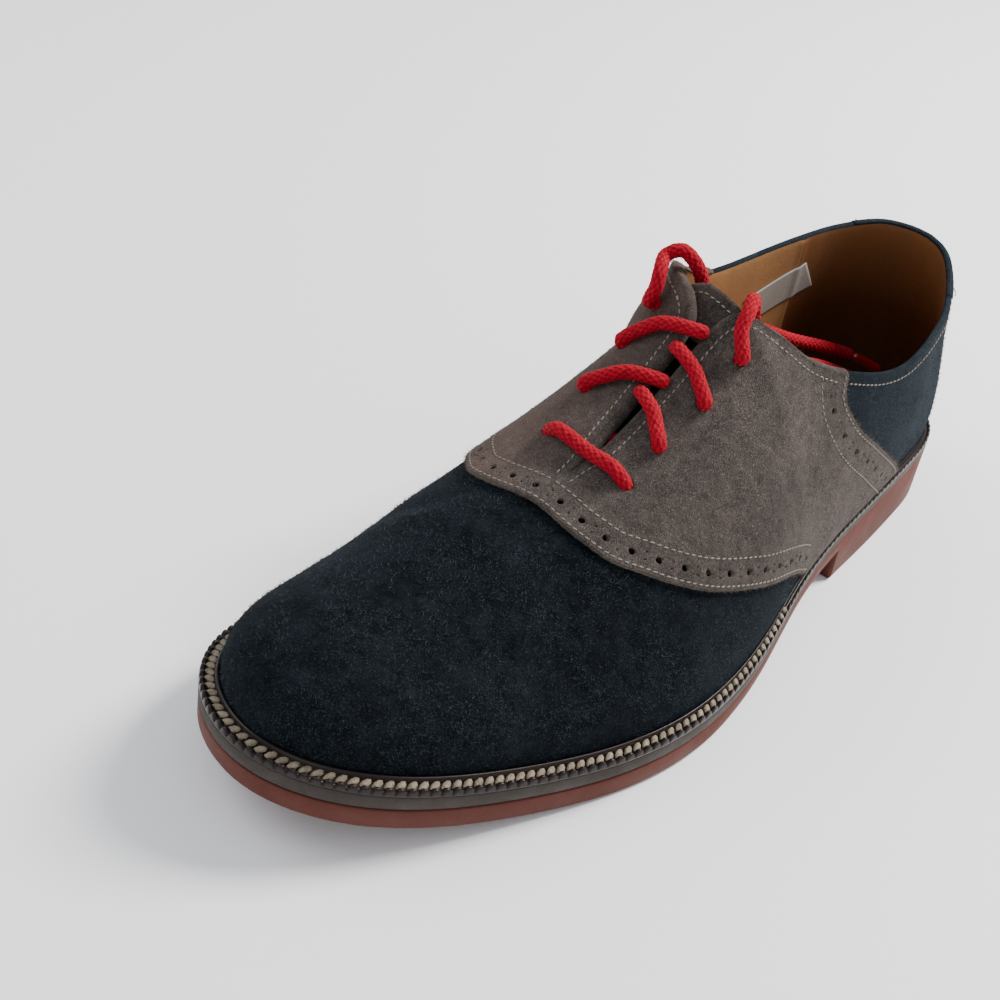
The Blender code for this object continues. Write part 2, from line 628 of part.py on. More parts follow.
def add_layer(name, shoe, levels, colour, roughness, extra=0.0):
    """Solid between a lower and an upper face; levels are (inset, height function) from below."""
    shares = share_rows()
    build = bmesh.new()
    rings = [[build.verts.new(point) for point in loop_points(shares, extra, inset, height)]
             for inset, height in levels]
    count = len(rings[0])
    for low, high in zip(rings[:-1], rings[1:]):
        for i in range(count):
            j = (i + 1) % count
            build.faces.new((low[i], low[j], high[j], high[i]))
    for ring in (rings[0], rings[-1]):
        half = len(shares)
        build.faces.new((ring[0], ring[1], ring[count - 1]))
        for i in range(1, half):
            build.faces.new((ring[i], ring[i + 1], ring[count - i - 1], ring[count - i]))
        build.faces.new((ring[half], ring[half + 1], ring[half + 2]))
    bmesh.ops.recalc_face_normals(build, faces=build.faces[:])
    return add_object(name, mesh_from(name, build), shoe, colour, roughness, smooth=False)


def midsole_bottom(share):
    rows = np.array(MIDSOLE_TABLE)
    return seat_at(share) - ease(rows[:, 0], rows[:, 1], share)


def outsole_bottom(share):
    return np.where(np.asarray(share) < BREAST_SHARE, 0.0, under_at(share))


def make_sole(shoe):
    add_layer("outsole", shoe, (
        (0.0010, outsole_bottom),
        (0.0, lambda share: outsole_bottom(share) + 0.0010),
        (0.0, lambda share: midsole_bottom(share) - SEAT_GAP - 0.0005),
        (0.0003, lambda share: midsole_bottom(share) - SEAT_GAP),
    ), (0.26, 0.075, 0.045), 0.6)
    add_layer("midsole", shoe, (
        (0.0003, midsole_bottom),
        (0.0, lambda share: midsole_bottom(share) + 0.0004),
        (0.0, lambda share: seat_at(share) - SEAT_GAP),
    ), (0.09, 0.075, 0.065), 0.7)
    add_layer("insole", shoe, (
        (UPPER_WALL + 0.0010, seat_at),
        (UPPER_WALL + 0.0008, lambda share: seat_at(share) + 0.0012),
        (UPPER_WALL + 0.0012, lambda share: seat_at(share) + INSOLE_THICKNESS),
    ), (0.30, 0.17, 0.08), 0.6, extra=1.0)


# Cross section of the welt: share of its width from the upper's foot, height over the midsole.
WELT_PROFILE = ((0.10, 0.0), (0.16, 0.0010), (0.32, 0.0026), (0.48, 0.0020), (0.62, 0.0010),
                (0.80, 0.0012), (0.98, 0.0022), (1.0, 0.0))
# Height of the welt as a share of that profile, by share of the length.
WELT_HEIGHT = ((0.0, 0.60), (0.32, 0.60), (0.50, 0.85), (0.62, 1.0), (1.0, 1.0))


def make_welt(shoe):
    """Strip round the upper's foot with a raised bead, a stitch groove and an outer lip."""
    shares = share_rows()
    build = bmesh.new()
    rings = []
    for across, high in WELT_PROFILE:
        points = loop_points(shares, 1.0 - across, 0.0, seat_at)
        points[:, 2] += high * ease(*zip(*WELT_HEIGHT), (HEEL_CENTRE - points[:, 1]) / SHOE_LENGTH)
        rings.append([build.verts.new(point) for point in points])
    count = len(rings[0])
    for k in range(len(rings)):
        low = rings[k]
        high = rings[(k + 1) % len(rings)]
        for i in range(count):
            j = (i + 1) % count
            build.faces.new((low[i], low[j], high[j], high[i]))
    bmesh.ops.recalc_face_normals(build, faces=build.faces[:])
    return add_object("welt", mesh_from("welt", build), shoe, (0.03, 0.02, 0.016), 0.35)


def smooth_route(points, spacing):
    """Evenly spaced points of a smooth curve through hand-placed points."""
    points = np.asarray(points, float)
    chord = np.concatenate([[0.0], np.cumsum(np.linalg.norm(np.diff(points, axis=0), axis=1))])
    count = max(3, int(round(chord[-1] / spacing)) + 1)
    at = np.linspace(0.0, chord[-1], count)
    padded = np.concatenate([[2 * points[0] - points[1]], points, [2 * points[-1] - points[-2]]])
    i = np.clip(np.searchsorted(chord, at, side="right") - 1, 0, len(points) - 2)
    f = ((at - chord[i]) / (chord[i + 1] - chord[i]))[:, None]
    a, b, c, d = padded[i], padded[i + 1], padded[i + 2], padded[i + 3]
    return 0.5 * (2 * b + (c - a) * f + (2 * a - 5 * b + 4 * c - d) * f**2 + (3 * b - a - 3 * c + d) * f**3)


def add_tube(name, shoe, route, colour):
    """Round lace along a route as a curve with filled caps."""
    curve = bpy.data.curves.new(name, "CURVE")
    curve.dimensions = "3D"
    curve.bevel_depth = LACE_RADIUS
    curve.bevel_resolution = 2
    curve.use_fill_caps = True
    spline = curve.splines.new("POLY")
    spline.points.add(len(route) - 1)
    for point, place in zip(spline.points, route):
        point.co = (*place, 1.0)
    spline.use_smooth = True
    item = bpy.data.objects.new(name, curve)
    shoe.objects.link(item)
    curve.materials.append(paint(name, colour, 0.8))
    return item


def join_tubes(name, shoe, cutters, routes, colour):
    """Two strands that meet in the slit, joined into one solid."""
    made = [add_tube(name + "_strand_" + str(k), cutters, route, colour) for k, route in enumerate(routes)]
    depsgraph = bpy.context.evaluated_depsgraph_get()
    parts = [bpy.data.meshes.new_from_object(item.evaluated_get(depsgraph)) for item in made]
    for item in made:
        bpy.data.objects.remove(item, do_unlink=True)
    for part in parts:
        build = bmesh.new()
        build.from_mesh(part)
        bmesh.ops.remove_doubles(build, verts=build.verts[:], dist=0.00001)
        bmesh.ops.recalc_face_normals(build, faces=build.faces[:])
        build.to_mesh(part)
        build.free()
        part.materials.clear()
    item = add_object(name, parts[0], shoe, colour, 0.8)
    other = bpy.data.objects.new(name + "_strand", parts[1])
    cutters.objects.link(other)
    other.hide_render = True
    other.display_type = "WIRE"
    modifier = item.modifiers.new("join", "BOOLEAN")
    modifier.operation = "UNION"
    modifier.solver = "EXACT"
    modifier.object = other


def make_laces(shoe, cutters):
    red = (0.60, 0.03, 0.035)
    surface = LAYER_GAP + SADDLE_THICKNESS
    lift = surface + LACE_RADIUS + LACE_LIFT

    def mouth(side, pair):
        row = EYELET_TABLE[pair - 1]
        return [eyelet_place(side, row, surface + up)[0] for up in (0.0006, 0.0026)]

    def above(side, station, height, up=0.0):
        return over_upper(side, station, height, lift + up)

    def slit(station, up):
        return (above(1, station, 1.0, up) + above(-1, station, 1.0, up)) / 2

    def out_to(side, pair, station, up):
        """Strand from an eyelet over the flap into the slit."""
        row = EYELET_TABLE[pair - 1]
        word = "lateral" if side > 0 else "medial"
        own_station = row[EYELET_COLUMNS.index(word + "_station")]
        own_height = row[EYELET_COLUMNS.index(word + "_height")]
        points = mouth(side, pair)
        for share in (0.4, 0.75):
            points.append(above(side, own_station + (station - own_station) * share,
                                own_height + (1.0 - own_height) * share, 0.0003))
        return smooth_route(points + [slit(station, up)], LACE_STEP)

    bar = mouth(-1, 1) + [above(-1, 0.465, 0.92, 0.0003), slit(0.462, 0.0004), above(1, 0.460, 0.93, 0.0003)]
    add_tube("lace_bar_1", shoe, smooth_route(bar + mouth(1, 1)[::-1], LACE_STEP), red)
    join_tubes("lace_crossing_2", shoe, cutters, (out_to(-1, 2, 0.536, 0.0), out_to(1, 2, 0.530, 0.0)), red)
    join_tubes("lace_crossing_3", shoe, cutters, (out_to(-1, 3, 0.585, 0.0), out_to(1, 3, 0.580, 0.0)), red)
    for name, side, over, inside in (("lace_end_medial", -1, MEDIAL_OVER, MEDIAL_END),
                                     ("lace_end_lateral", 1, LATERAL_OVER, LATERAL_END)):
        route = mouth(side, 4) + [above(side, station, height, up) for station, height, up in over]
        route += [np.array(point) for point in inside]
        add_tube(name, shoe, smooth_route(route, LACE_END_STEP), red)


shoe, cutters = reset_scene()
make_cutter(cutters)
make_sole(shoe)
make_welt(shoe)
make_upper(shoe, cutters)
make_saddle(shoe, cutters)
make_back_strap(shoe)
make_tongue(shoe)
make_laces(shoe, cutters)
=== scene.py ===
import math
import bpy
import bmesh
import numpy as np
from mathutils import Matrix, Vector


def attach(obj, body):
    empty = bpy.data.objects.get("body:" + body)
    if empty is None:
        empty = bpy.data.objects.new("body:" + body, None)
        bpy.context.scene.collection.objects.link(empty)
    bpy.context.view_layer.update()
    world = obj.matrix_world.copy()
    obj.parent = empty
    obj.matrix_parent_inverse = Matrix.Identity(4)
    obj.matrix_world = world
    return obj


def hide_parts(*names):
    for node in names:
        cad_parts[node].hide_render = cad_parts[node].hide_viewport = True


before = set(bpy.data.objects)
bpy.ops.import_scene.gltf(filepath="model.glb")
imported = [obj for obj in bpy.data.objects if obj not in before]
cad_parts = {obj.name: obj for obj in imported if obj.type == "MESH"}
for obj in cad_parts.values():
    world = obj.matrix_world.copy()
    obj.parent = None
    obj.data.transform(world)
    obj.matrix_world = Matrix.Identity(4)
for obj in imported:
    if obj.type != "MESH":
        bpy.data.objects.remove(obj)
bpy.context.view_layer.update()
scene = bpy.context.scene
print("saddle shoe: frame loaded")

last = {  # driving sizes of the last in metres; the toe points towards -Y, +X is the outer side
    "length": 0.304, "ballWidth": 0.110, "instepHeight": 0.100, "heelCentre": 0.036, "toeTipX": -0.0025,
    "toeSpring": 0.0140, "springStart": 0.70, "springPower": 1.8, "breastShare": 0.285,
    "wall": 0.0022, "seatGap": 0.0003, "tipMargin": 0.0060, "backMargin": 0.0028,
    "throatStation": 0.42, "poleStation": 0.13, "edgePoints": 2400,
}
outlineNames = ("share", "lateral", "medial", "lateralMargin", "medialMargin")
outlineRows = (
    (0.035, 0.203, 0.212, 0.0026, 0.0030),
    (0.120, 0.282, 0.275, 0.0026, 0.0030),
    (0.220, 0.325, 0.285, 0.0024, 0.0026),
    (0.360, 0.385, 0.270, 0.0023, 0.0024),
    (0.480, 0.485, 0.315, 0.0030, 0.0028),
    (0.600, 0.546, 0.420, 0.0042, 0.0036),
    (0.700, 0.522, 0.458, 0.0052, 0.0046),
    (0.810, 0.428, 0.425, 0.0056, 0.0052),
    (0.905, 0.316, 0.380, 0.0058, 0.0056),
    (0.972, 0.170, 0.247, 0.0060, 0.0060),
)
seatRows = ((0.0, 0.0236), (0.20, 0.0224), (0.285, 0.0207), (0.36, 0.0180), (0.45, 0.0147),
            (0.55, 0.0126), (0.65, 0.0122), (1.0, 0.0122))
midsoleRows = ((0.0, 0.0034), (0.285, 0.0030), (0.40, 0.0032), (0.55, 0.0046), (1.0, 0.0050))
archRows = ((0.285, 0.0118), (0.36, 0.0088), (0.45, 0.0046), (0.53, 0.0013), (0.60, 0.0), (1.0, 0.0))
sectionNames = ("station", "lateralFoot", "medialFoot", "lateralCrest", "medialCrest", "lateralX", "medialX",
                "lateralZ", "medialZ", "belly", "rise", "lateralShoulder", "medialShoulder", "drop", "ridge")
sectionRows = (  # the upper's sections from the toe tip to the back of the heel
    (0.00, 1.000, 1.000, 0.880, 0.880, -0.026, -0.026, 0.506, 0.506, 0.0030, 0.56, 0.022, 0.022, 0.0, 1.0),
    (0.06, 0.984, 0.984, 0.880, 0.880, -0.026, -0.026, 0.506, 0.506, 0.0030, 0.56, 0.022, 0.022, 0.0, 1.0),
    (0.13, 0.940, 0.940, 0.880, 0.880, -0.026, -0.026, 0.506, 0.506, 0.0028, 0.56, 0.020, 0.020, 0.0, 1.0),
    (0.20, 0.880, 0.880, 0.850, 0.850, -0.020, -0.020, 0.514, 0.514, 0.0026, 0.56, 0.020, 0.020, 0.0, 1.0),
    (0.27, 0.810, 0.815, 0.790, 0.790, -0.010, -0.010, 0.534, 0.534, 0.0026, 0.56, 0.022, 0.022, 0.0, 1.0),
    (0.34, 0.735, 0.745, 0.730, 0.730, 0.006, 0.006, 0.578, 0.578, 0.0028, 0.56, 0.023, 0.024, 0.0, 1.0),
    (0.42, 0.655, 0.670, 0.640, 0.640, 0.024, 0.024, 0.655, 0.655, 0.0033, 0.55, 0.023, 0.027, 0.0, 1.0),
    (0.48, 0.590, 0.605, 0.588, 0.588, 0.046, 0.004, 0.722, 0.728, 0.0040, 0.52, 0.023, 0.028, 0.0020, 0.3),
    (0.54, 0.520, 0.535, 0.525, 0.525, 0.044, -0.012, 0.828, 0.838, 0.0046, 0.48, 0.022, 0.027, 0.0030, 0.0),
    (0.59, 0.462, 0.475, 0.470, 0.470, 0.042, -0.034, 0.945, 0.955, 0.0049, 0.45, 0.019, 0.024, 0.0050, 0.0),
    (0.62, 0.430, 0.440, 0.442, 0.450, 0.072, -0.110, 1.005, 1.030, 0.0052, 0.44, 0.015, 0.019, 0.0080, 0.0),
    (0.65, 0.397, 0.400, 0.416, 0.425, 0.140, -0.190, 0.960, 1.020, 0.0051, 0.43, 0.010, 0.012, 0.0130, 0.0),
    (0.68, 0.363, 0.363, 0.380, 0.385, 0.205, -0.225, 0.870, 0.950, 0.0050, 0.41, 0.008, 0.008, 0.0160, 0.0),
    (0.72, 0.320, 0.320, 0.330, 0.335, 0.257, -0.243, 0.803, 0.893, 0.0046, 0.40, 0.006, 0.006, 0.0180, 0.0),
    (0.80, 0.220, 0.220, 0.232, 0.232, 0.295, -0.270, 0.738, 0.855, 0.0034, 0.38, 0.004, 0.004, 0.0180, 0.0),
    (0.88, 0.120, 0.120, 0.131, 0.131, 0.244, -0.240, 0.776, 0.873, 0.0023, 0.36, 0.002, 0.002, 0.0200, 0.0),
    (0.94, 0.040, 0.040, 0.057, 0.057, 0.128, -0.146, 0.836, 0.895, 0.0017, 0.36, 0.002, 0.002, 0.0220, 0.0),
    (0.97, 0.012, 0.012, 0.039, 0.039, 0.070, -0.080, 0.866, 0.892, 0.0018, 0.36, 0.003, 0.003, 0.0230, 0.0),
    (0.985, 0.004, 0.004, 0.0335, 0.0335, 0.034, -0.042, 0.876, 0.888, 0.0020, 0.36, 0.003, 0.003, 0.0235, 0.0),
    (1.00, 0.000, 0.000, 0.032, 0.032, -0.004, -0.004, 0.885, 0.885, 0.0022, 0.36, 0.004, 0.004, 0.0240, 0.0),
)
creaseRows = (  # side (0 both), station, height, reach in height, width in stations, lean, depth in metres
    (0, 0.360, 1.00, 0.34, 0.011, 0.05, -0.00035), (0, 0.335, 1.00, 0.30, 0.013, 0.04, 0.00030),
    (1, 0.395, 0.42, 0.20, 0.016, 0.10, -0.00055), (1, 0.455, 0.28, 0.16, 0.018, 0.12, 0.00040),
    (-1, 0.360, 0.66, 0.16, 0.018, 0.10, -0.00070), (-1, 0.335, 0.72, 0.18, 0.018, 0.10, 0.00055),
    (1, 0.620, 0.55, 0.20, 0.030, -0.10, -0.00070), (1, 0.560, 0.48, 0.22, 0.026, -0.10, 0.00050),
    (-1, 0.610, 0.50, 0.22, 0.030, -0.10, -0.00070), (1, 0.775, 0.62, 0.24, 0.022, 0.02, -0.00060),
    (1, 0.850, 0.60, 0.26, 0.016, 0.02, 0.00035), (-1, 0.800, 0.58, 0.26, 0.026, 0.0, -0.00060),
)


def column(rows, names, name):
    return np.array([row[names.index(name)] for row in rows], float)


def ease(knots, values, at):  # smooth curve through a table's rows that never overshoots them
    knots, values = np.asarray(knots, float), np.asarray(values, float)
    at = np.clip(np.asarray(at, float), knots[0], knots[-1])
    step = np.diff(knots)
    slope = np.diff(values) / step
    tangent = np.zeros(len(knots))
    tangent[0], tangent[-1] = slope[0], slope[-1]
    for i in range(1, len(knots) - 1):
        if slope[i - 1] * slope[i] > 0:
            before, after = 2 * step[i] + step[i - 1], step[i] + 2 * step[i - 1]
            tangent[i] = (before + after) / (before / slope[i - 1] + after / slope[i])
    i = np.clip(np.searchsorted(knots, at, side="right") - 1, 0, len(step) - 1)
    h = step[i]
    f = (at - knots[i]) / h
    return ((2 * f**3 - 3 * f**2 + 1) * values[i] + (f**3 - 2 * f**2 + f) * h * tangent[i]
            + (3 * f**2 - 2 * f**3) * values[i + 1] + (f**3 - f**2) * h * tangent[i + 1])


def easeRows(rows, at):
    table = np.array(rows)
    return ease(table[:, 0], table[:, 1], at)


def closedCurve(points, count):  # closed cubic curve through the points
    points = np.asarray(points, float)
    n = len(points)
    chord = np.sqrt(np.linalg.norm(np.roll(points, -1, 0) - points, axis=1))
    matrix = np.zeros((n, n))
    right = np.zeros(points.shape)
    for i in range(n):
        a, b = chord[i - 1], chord[i]
        matrix[i, (i - 1) % n], matrix[i, i], matrix[i, (i + 1) % n] = a, 2 * (a + b), b
        right[i] = 6 * ((points[(i + 1) % n] - points[i]) / b - (points[i] - points[i - 1]) / a)
    bend = np.linalg.solve(matrix, right)
    knots = np.concatenate([[0.0], np.cumsum(chord)])
    at = np.linspace(0.0, knots[-1], count, endpoint=False)
    i = np.clip(np.searchsorted(knots, at, side="right") - 1, 0, n - 1)
    j = (i + 1) % n
    h, f = chord[i][:, None], (at - knots[i])[:, None]
    g = h - f
    return (bend[i] * g**3 / (6 * h) + bend[j] * f**3 / (6 * h)
            + (points[i] / h - bend[i] * h / 6) * g + (points[j] / h - bend[j] * h / 6) * f)


def soleLoop():  # x, distance from the heel and margin round the edge of the sole
    cols = {name: column(outlineRows, outlineNames, name) for name in outlineNames}
    lateral, medial = (np.stack([way * cols[word] * last["ballWidth"], cols["share"] * last["length"],
                                 cols[word + "Margin"]], 1) for word, way in (("lateral", 1), ("medial", -1)))
    toe = (last["toeTipX"], last["length"], last["tipMargin"])
    heel = (0.0, 0.0, last["backMargin"])
    return closedCurve(np.concatenate([[toe], lateral[::-1], [heel], medial]), last["edgePoints"])


def pathLength(points):  # distance run up to each point
    return np.concatenate([[0.0], np.cumsum(np.linalg.norm(np.diff(points, axis=0), axis=1))])


def halfOf(loop, side):
    loop = np.roll(loop, -int(np.argmax(loop[:, 1])), 0)
    back = int(np.argmin(loop[:, 1]))
    half = loop[:back + 1] if side > 0 else np.concatenate([loop[:1], loop[back:][::-1]])
    return half, pathLength(half[:, :2])


soleEdge = soleLoop()
halves = {side: halfOf(soleEdge, side) for side in (1, -1)}


def alongAt(side, share):
    half, along = halves[side]
    share = np.asarray(share, float)
    distance = np.interp(-share * last["length"], -half[:, 1], along)
    return np.where(share >= 1.0, 0.0, np.where(share <= 0.0, along[-1], distance))


def edgeAt(side, distance, extra=0.0, inset=0.0):  # points in from the sole's edge, and outward directions
    half, along = halves[side]
    distance = np.asarray(distance, float)
    step = 0.0015
    near = np.stack([np.interp(distance, along, half[:, k]) for k in range(3)], -1)
    low, high = np.clip(distance - step, 0, along[-1]), np.clip(distance + step, 0, along[-1])
    ahead = np.stack([np.interp(high, along, half[:, k]) - np.interp(low, along, half[:, k])
                      for k in range(2)], -1)
    ahead[distance < step] = (side, 0.0)
    ahead[distance > along[-1] - step] = (-side, 0.0)
    ahead /= np.linalg.norm(ahead, axis=1)[:, None]
    outward = np.stack([-ahead[:, 1], ahead[:, 0]], -1) * side
    return near[:, :2] - outward * (near[:, 2] * extra + inset)[:, None], outward


def acrossSole(shares, extra, inset, blend):  # places from the inner edge, blend 0, to the outer, blend 1
    inner, outer = (edgeAt(side, alongAt(side, shares), extra, inset)[0][:, None] for side in (-1, 1))
    return inner * (1 - blend[None, :, None]) + outer * blend[None, :, None]


def placed(flat, level):  # from the sole's plan to the shoe's frame
    return np.stack([flat[..., 0], last["heelCentre"] - flat[..., 1], level], -1)


def springAt(share):
    rise = np.clip((np.asarray(share) - last["springStart"]) / (1 - last["springStart"]), 0, 1)
    return last["toeSpring"] * rise**last["springPower"]


def seatAt(share):
    return easeRows(seatRows, share) + springAt(share)


def underAt(share):
    return easeRows(archRows, share) + springAt(share)


def sectionValues(name, station):
    stations = column(sectionRows, sectionNames, "station")
    return ease(stations, column(sectionRows, sectionNames, name), station)


def crestValues(word, name, station):  # both sides share one crest in front of the throat
    both = (sectionValues("lateral" + name, station) + sectionValues("medial" + name, station)) / 2
    return np.where(station <= last["throatStation"], both, sectionValues(word + name, station))


def footDistance(side, station):
    feet = column(sectionRows, sectionNames, "lateralFoot" if side > 0 else "medialFoot")
    return ease(column(sectionRows, sectionNames, "station"), alongAt(side, feet), station)


def ridgeSlope(station):
    step = 0.004
    low = np.clip(station - step, last["poleStation"] + step, 1)
    high = np.clip(station + step, last["poleStation"] + 3 * step, 1)
    rise = (sectionValues("lateralZ", high) - sectionValues("lateralZ", low)) * last["instepHeight"]
    run = (sectionValues("lateralCrest", high) - sectionValues("lateralCrest", low)) * last["length"]
    return rise / run


def upperPoint(side, station, height):  # outer face of the upper, height 0 at the foot and 1 at the crest
    station, height = np.broadcast_arrays(np.asarray(station, float), np.asarray(height, float))
    shape = station.shape
    station, height = station.ravel(), height.ravel()[:, None]
    foot, outward = edgeAt(side, footDistance(side, station), 1.0)
    footZ = seatAt(foot[:, 1] / last["length"]) + last["seatGap"]
    word = "lateral" if side > 0 else "medial"
    crestX = crestValues(word, "X", station) * last["ballWidth"]
    crestS = crestValues(word, "Crest", station) * last["length"]
    crestZ = crestValues(word, "Z", station) * last["instepHeight"]
    shoulder = sectionValues(word + "Shoulder", station)
    flat = foot - np.stack([crestX, crestS], -1)
    flat /= np.linalg.norm(flat, axis=1)[:, None]
    zero = np.stack([foot[:, 0], foot[:, 1], footZ], -1)
    three = np.stack([crestX, crestS, crestZ], -1)
    one = zero.copy()
    one[:, :2] += outward * sectionValues("belly", station)[:, None]
    one[:, 2] += sectionValues("rise", station) * (crestZ - footZ)
    two = three.copy()
    two[:, :2] += flat * shoulder[:, None]
    two[:, 2] += (sectionValues("ridge", station) * ridgeSlope(station) * flat[:, 1] * shoulder
                  - sectionValues("drop", station))
    place = (zero * (1 - height)**3 + one * 3 * height * (1 - height)**2
             + two * 3 * height**2 * (1 - height) + three * height**3)
    return np.stack([place[:, 0], last["heelCentre"] - place[:, 1], place[:, 2]], -1).reshape(shape + (3,))


def upperNormal(side, station, height):
    station, height = np.broadcast_arrays(np.asarray(station, float), np.asarray(height, float))
    step = 0.003
    east = upperPoint(side, np.clip(station + step, 0, 1), height)
    west = upperPoint(side, np.clip(station - step, 0, 1), height)
    high = upperPoint(side, station, np.clip(height + step, 0, 1))
    low = upperPoint(side, station, np.clip(height - step, 0, 1))
    normal = np.cross(east - west, high - low) * side
    return normal / np.maximum(np.linalg.norm(normal, axis=-1), 1e-12)[..., None]


def creaseLift(side, station, height):  # soft troughs and ridges placed one by one
    lift = np.zeros(np.broadcast(station, height).shape)
    for own, middle, level, reach, width, lean, depth in creaseRows:
        if own in (0, side):
            across = (station - middle - lean * (height - level)) / width
            lift = lift + depth * np.exp(-across**2 - ((height - level) / reach)**2)
    return lift


def offUpper(side, station, height, lift):  # points at a distance from the smooth outer face
    away = upperNormal(side, station, height) * np.asarray(lift)[..., None]
    return upperPoint(side, station, height) + away


def overUpper(side, station, height, lift):  # points at a distance from the creased outer face
    station, height = np.broadcast_arrays(np.asarray(station, float), np.asarray(height, float))
    return offUpper(side, station, height, creaseLift(side, station, height) + lift)


rimShape = {"below": 0.985, "fade": 0.035, "least": 0.12, "flat": 0.85}  # the rim's growth from the throat


def rimPoints(side, station, outRadius, inRadius, count):  # rows that roll over the top edge of the wall
    crest, below = upperPoint(side, station, 1.0), upperPoint(side, station, rimShape["below"])
    normal = upperNormal(side, station, 1.0)
    up = crest - below
    up -= normal * np.sum(up * normal, axis=-1)[..., None]
    up /= np.linalg.norm(up, axis=-1)[..., None]
    grow = np.clip((station - last["throatStation"]) / rimShape["fade"], rimShape["least"], 1)[:, None]
    rows = []
    for turn in np.linspace(0.0, math.pi, count + 2)[1:-1]:
        radius = outRadius + (inRadius - outRadius) * turn / math.pi
        rows.append(crest - normal * last["wall"] / 2 + normal * math.cos(turn) * radius
                    + up * math.sin(turn) * radius * rimShape["flat"] * grow)
    return np.stack(rows, 1)


def unevenness(at, size):  # small fixed waver of a hand-cut edge
    waves = np.sin(at * 61.0) + 0.7 * np.sin(at * 127.0 + 1.3) + 0.5 * np.sin(at * 263.0 + 2.1)
    return size * waves / 2.2


def addGrid(build, points, material=0, flip=False):
    rows, columns = points.shape[:2]
    made = [[build.verts.new(points[i, j]) for j in range(columns)] for i in range(rows)]
    for i in range(rows - 1):
        for j in range(columns - 1):
            corners = (made[i][j], made[i + 1][j], made[i + 1][j + 1], made[i][j + 1])
            face = build.faces.new(corners[::-1] if flip else corners)
            face.material_index = material
    return made


def addObject(name, data):
    piece = bpy.data.objects.new(name, data)
    scene.collection.objects.link(piece)
    return piece


def finishMesh(name, build, materials, merge=0.00001, recalc=True):
    bmesh.ops.remove_doubles(build, verts=build.verts[:], dist=merge)
    if recalc:
        bmesh.ops.recalc_face_normals(build, faces=build.faces[:])
    mesh = bpy.data.meshes.new(name)
    build.to_mesh(mesh)
    build.free()
    for material in materials:
        mesh.materials.append(material)
    mesh.shade_smooth()
    return addObject(name, mesh)


def settle(piece, slot, *nodes):  # the piece rides with the shoe and stands for its CAD nodes
    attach(piece, "root")
    if nodes:
        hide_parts(*nodes)


print("saddle shoe: materials")


def setSocket(tree, socket, value):  # a number, a colour or another node's output
    if isinstance(value, (int, float)):
        socket.default_value = value
    elif isinstance(value, tuple):
        socket.default_value = (*value, 1.0)
    else:
        tree.links.new(value, socket)


def feed(tree, node, feeds):  # feeds: the socket's name or number, and what goes into it
    for key, value in feeds.items():
        setSocket(tree, node.inputs[key], value)


def addNode(tree, kind, feeds=None, **values):
    node = tree.nodes.new(kind)
    for key, value in values.items():
        if key in node.inputs:
            node.inputs[key].default_value = value
        else:
            setattr(node, key, value)
    feed(tree, node, feeds or {})
    return node


def times(tree, first, second):
    return addNode(tree, "ShaderNodeMath", {0: first, 1: second}, operation="MULTIPLY").outputs[0]


def plus(tree, first, second):
    return addNode(tree, "ShaderNodeMath", {0: first, 1: second}, operation="ADD").outputs[0]


def rangeNode(tree, source, low, high, start=0.0, end=1.0):
    return addNode(tree, "ShaderNodeMapRange", {0: source, 1: low, 2: high, 3: start, 4: end}).outputs[0]


def mixColour(tree, factor, first, second, blend="MIX"):
    return addNode(tree, "ShaderNodeMix", {0: factor, 6: first, 7: second}, data_type="RGBA",
                   blend_type=blend).outputs[2]


def noiseNode(tree, vector, scale, detail=3.0, rough=0.5, distort=0.0):
    return addNode(tree, "ShaderNodeTexNoise", {"Vector": vector, "Scale": scale}, Detail=detail,
                   Roughness=rough, Distortion=distort).outputs[0]


def placeNode(tree):
    return addNode(tree, "ShaderNodeTexCoord").outputs["Object"]


def partsNode(tree, vector):
    return addNode(tree, "ShaderNodeSeparateXYZ", {0: vector}).outputs


def makeTree(name, kind, inputs, outputs):  # each socket's name, kind and value, if it has one
    tree = bpy.data.node_groups.new(name, kind)
    for way, sockets in (("INPUT", inputs), ("OUTPUT", outputs)):
        for title, content, *value in sockets:
            socket = tree.interface.new_socket(title, in_out=way, socket_type="NodeSocket" + content)
            if value:
                socket.default_value = value[0]
    return tree, tree.nodes.new("NodeGroupInput"), tree.nodes.new("NodeGroupOutput")


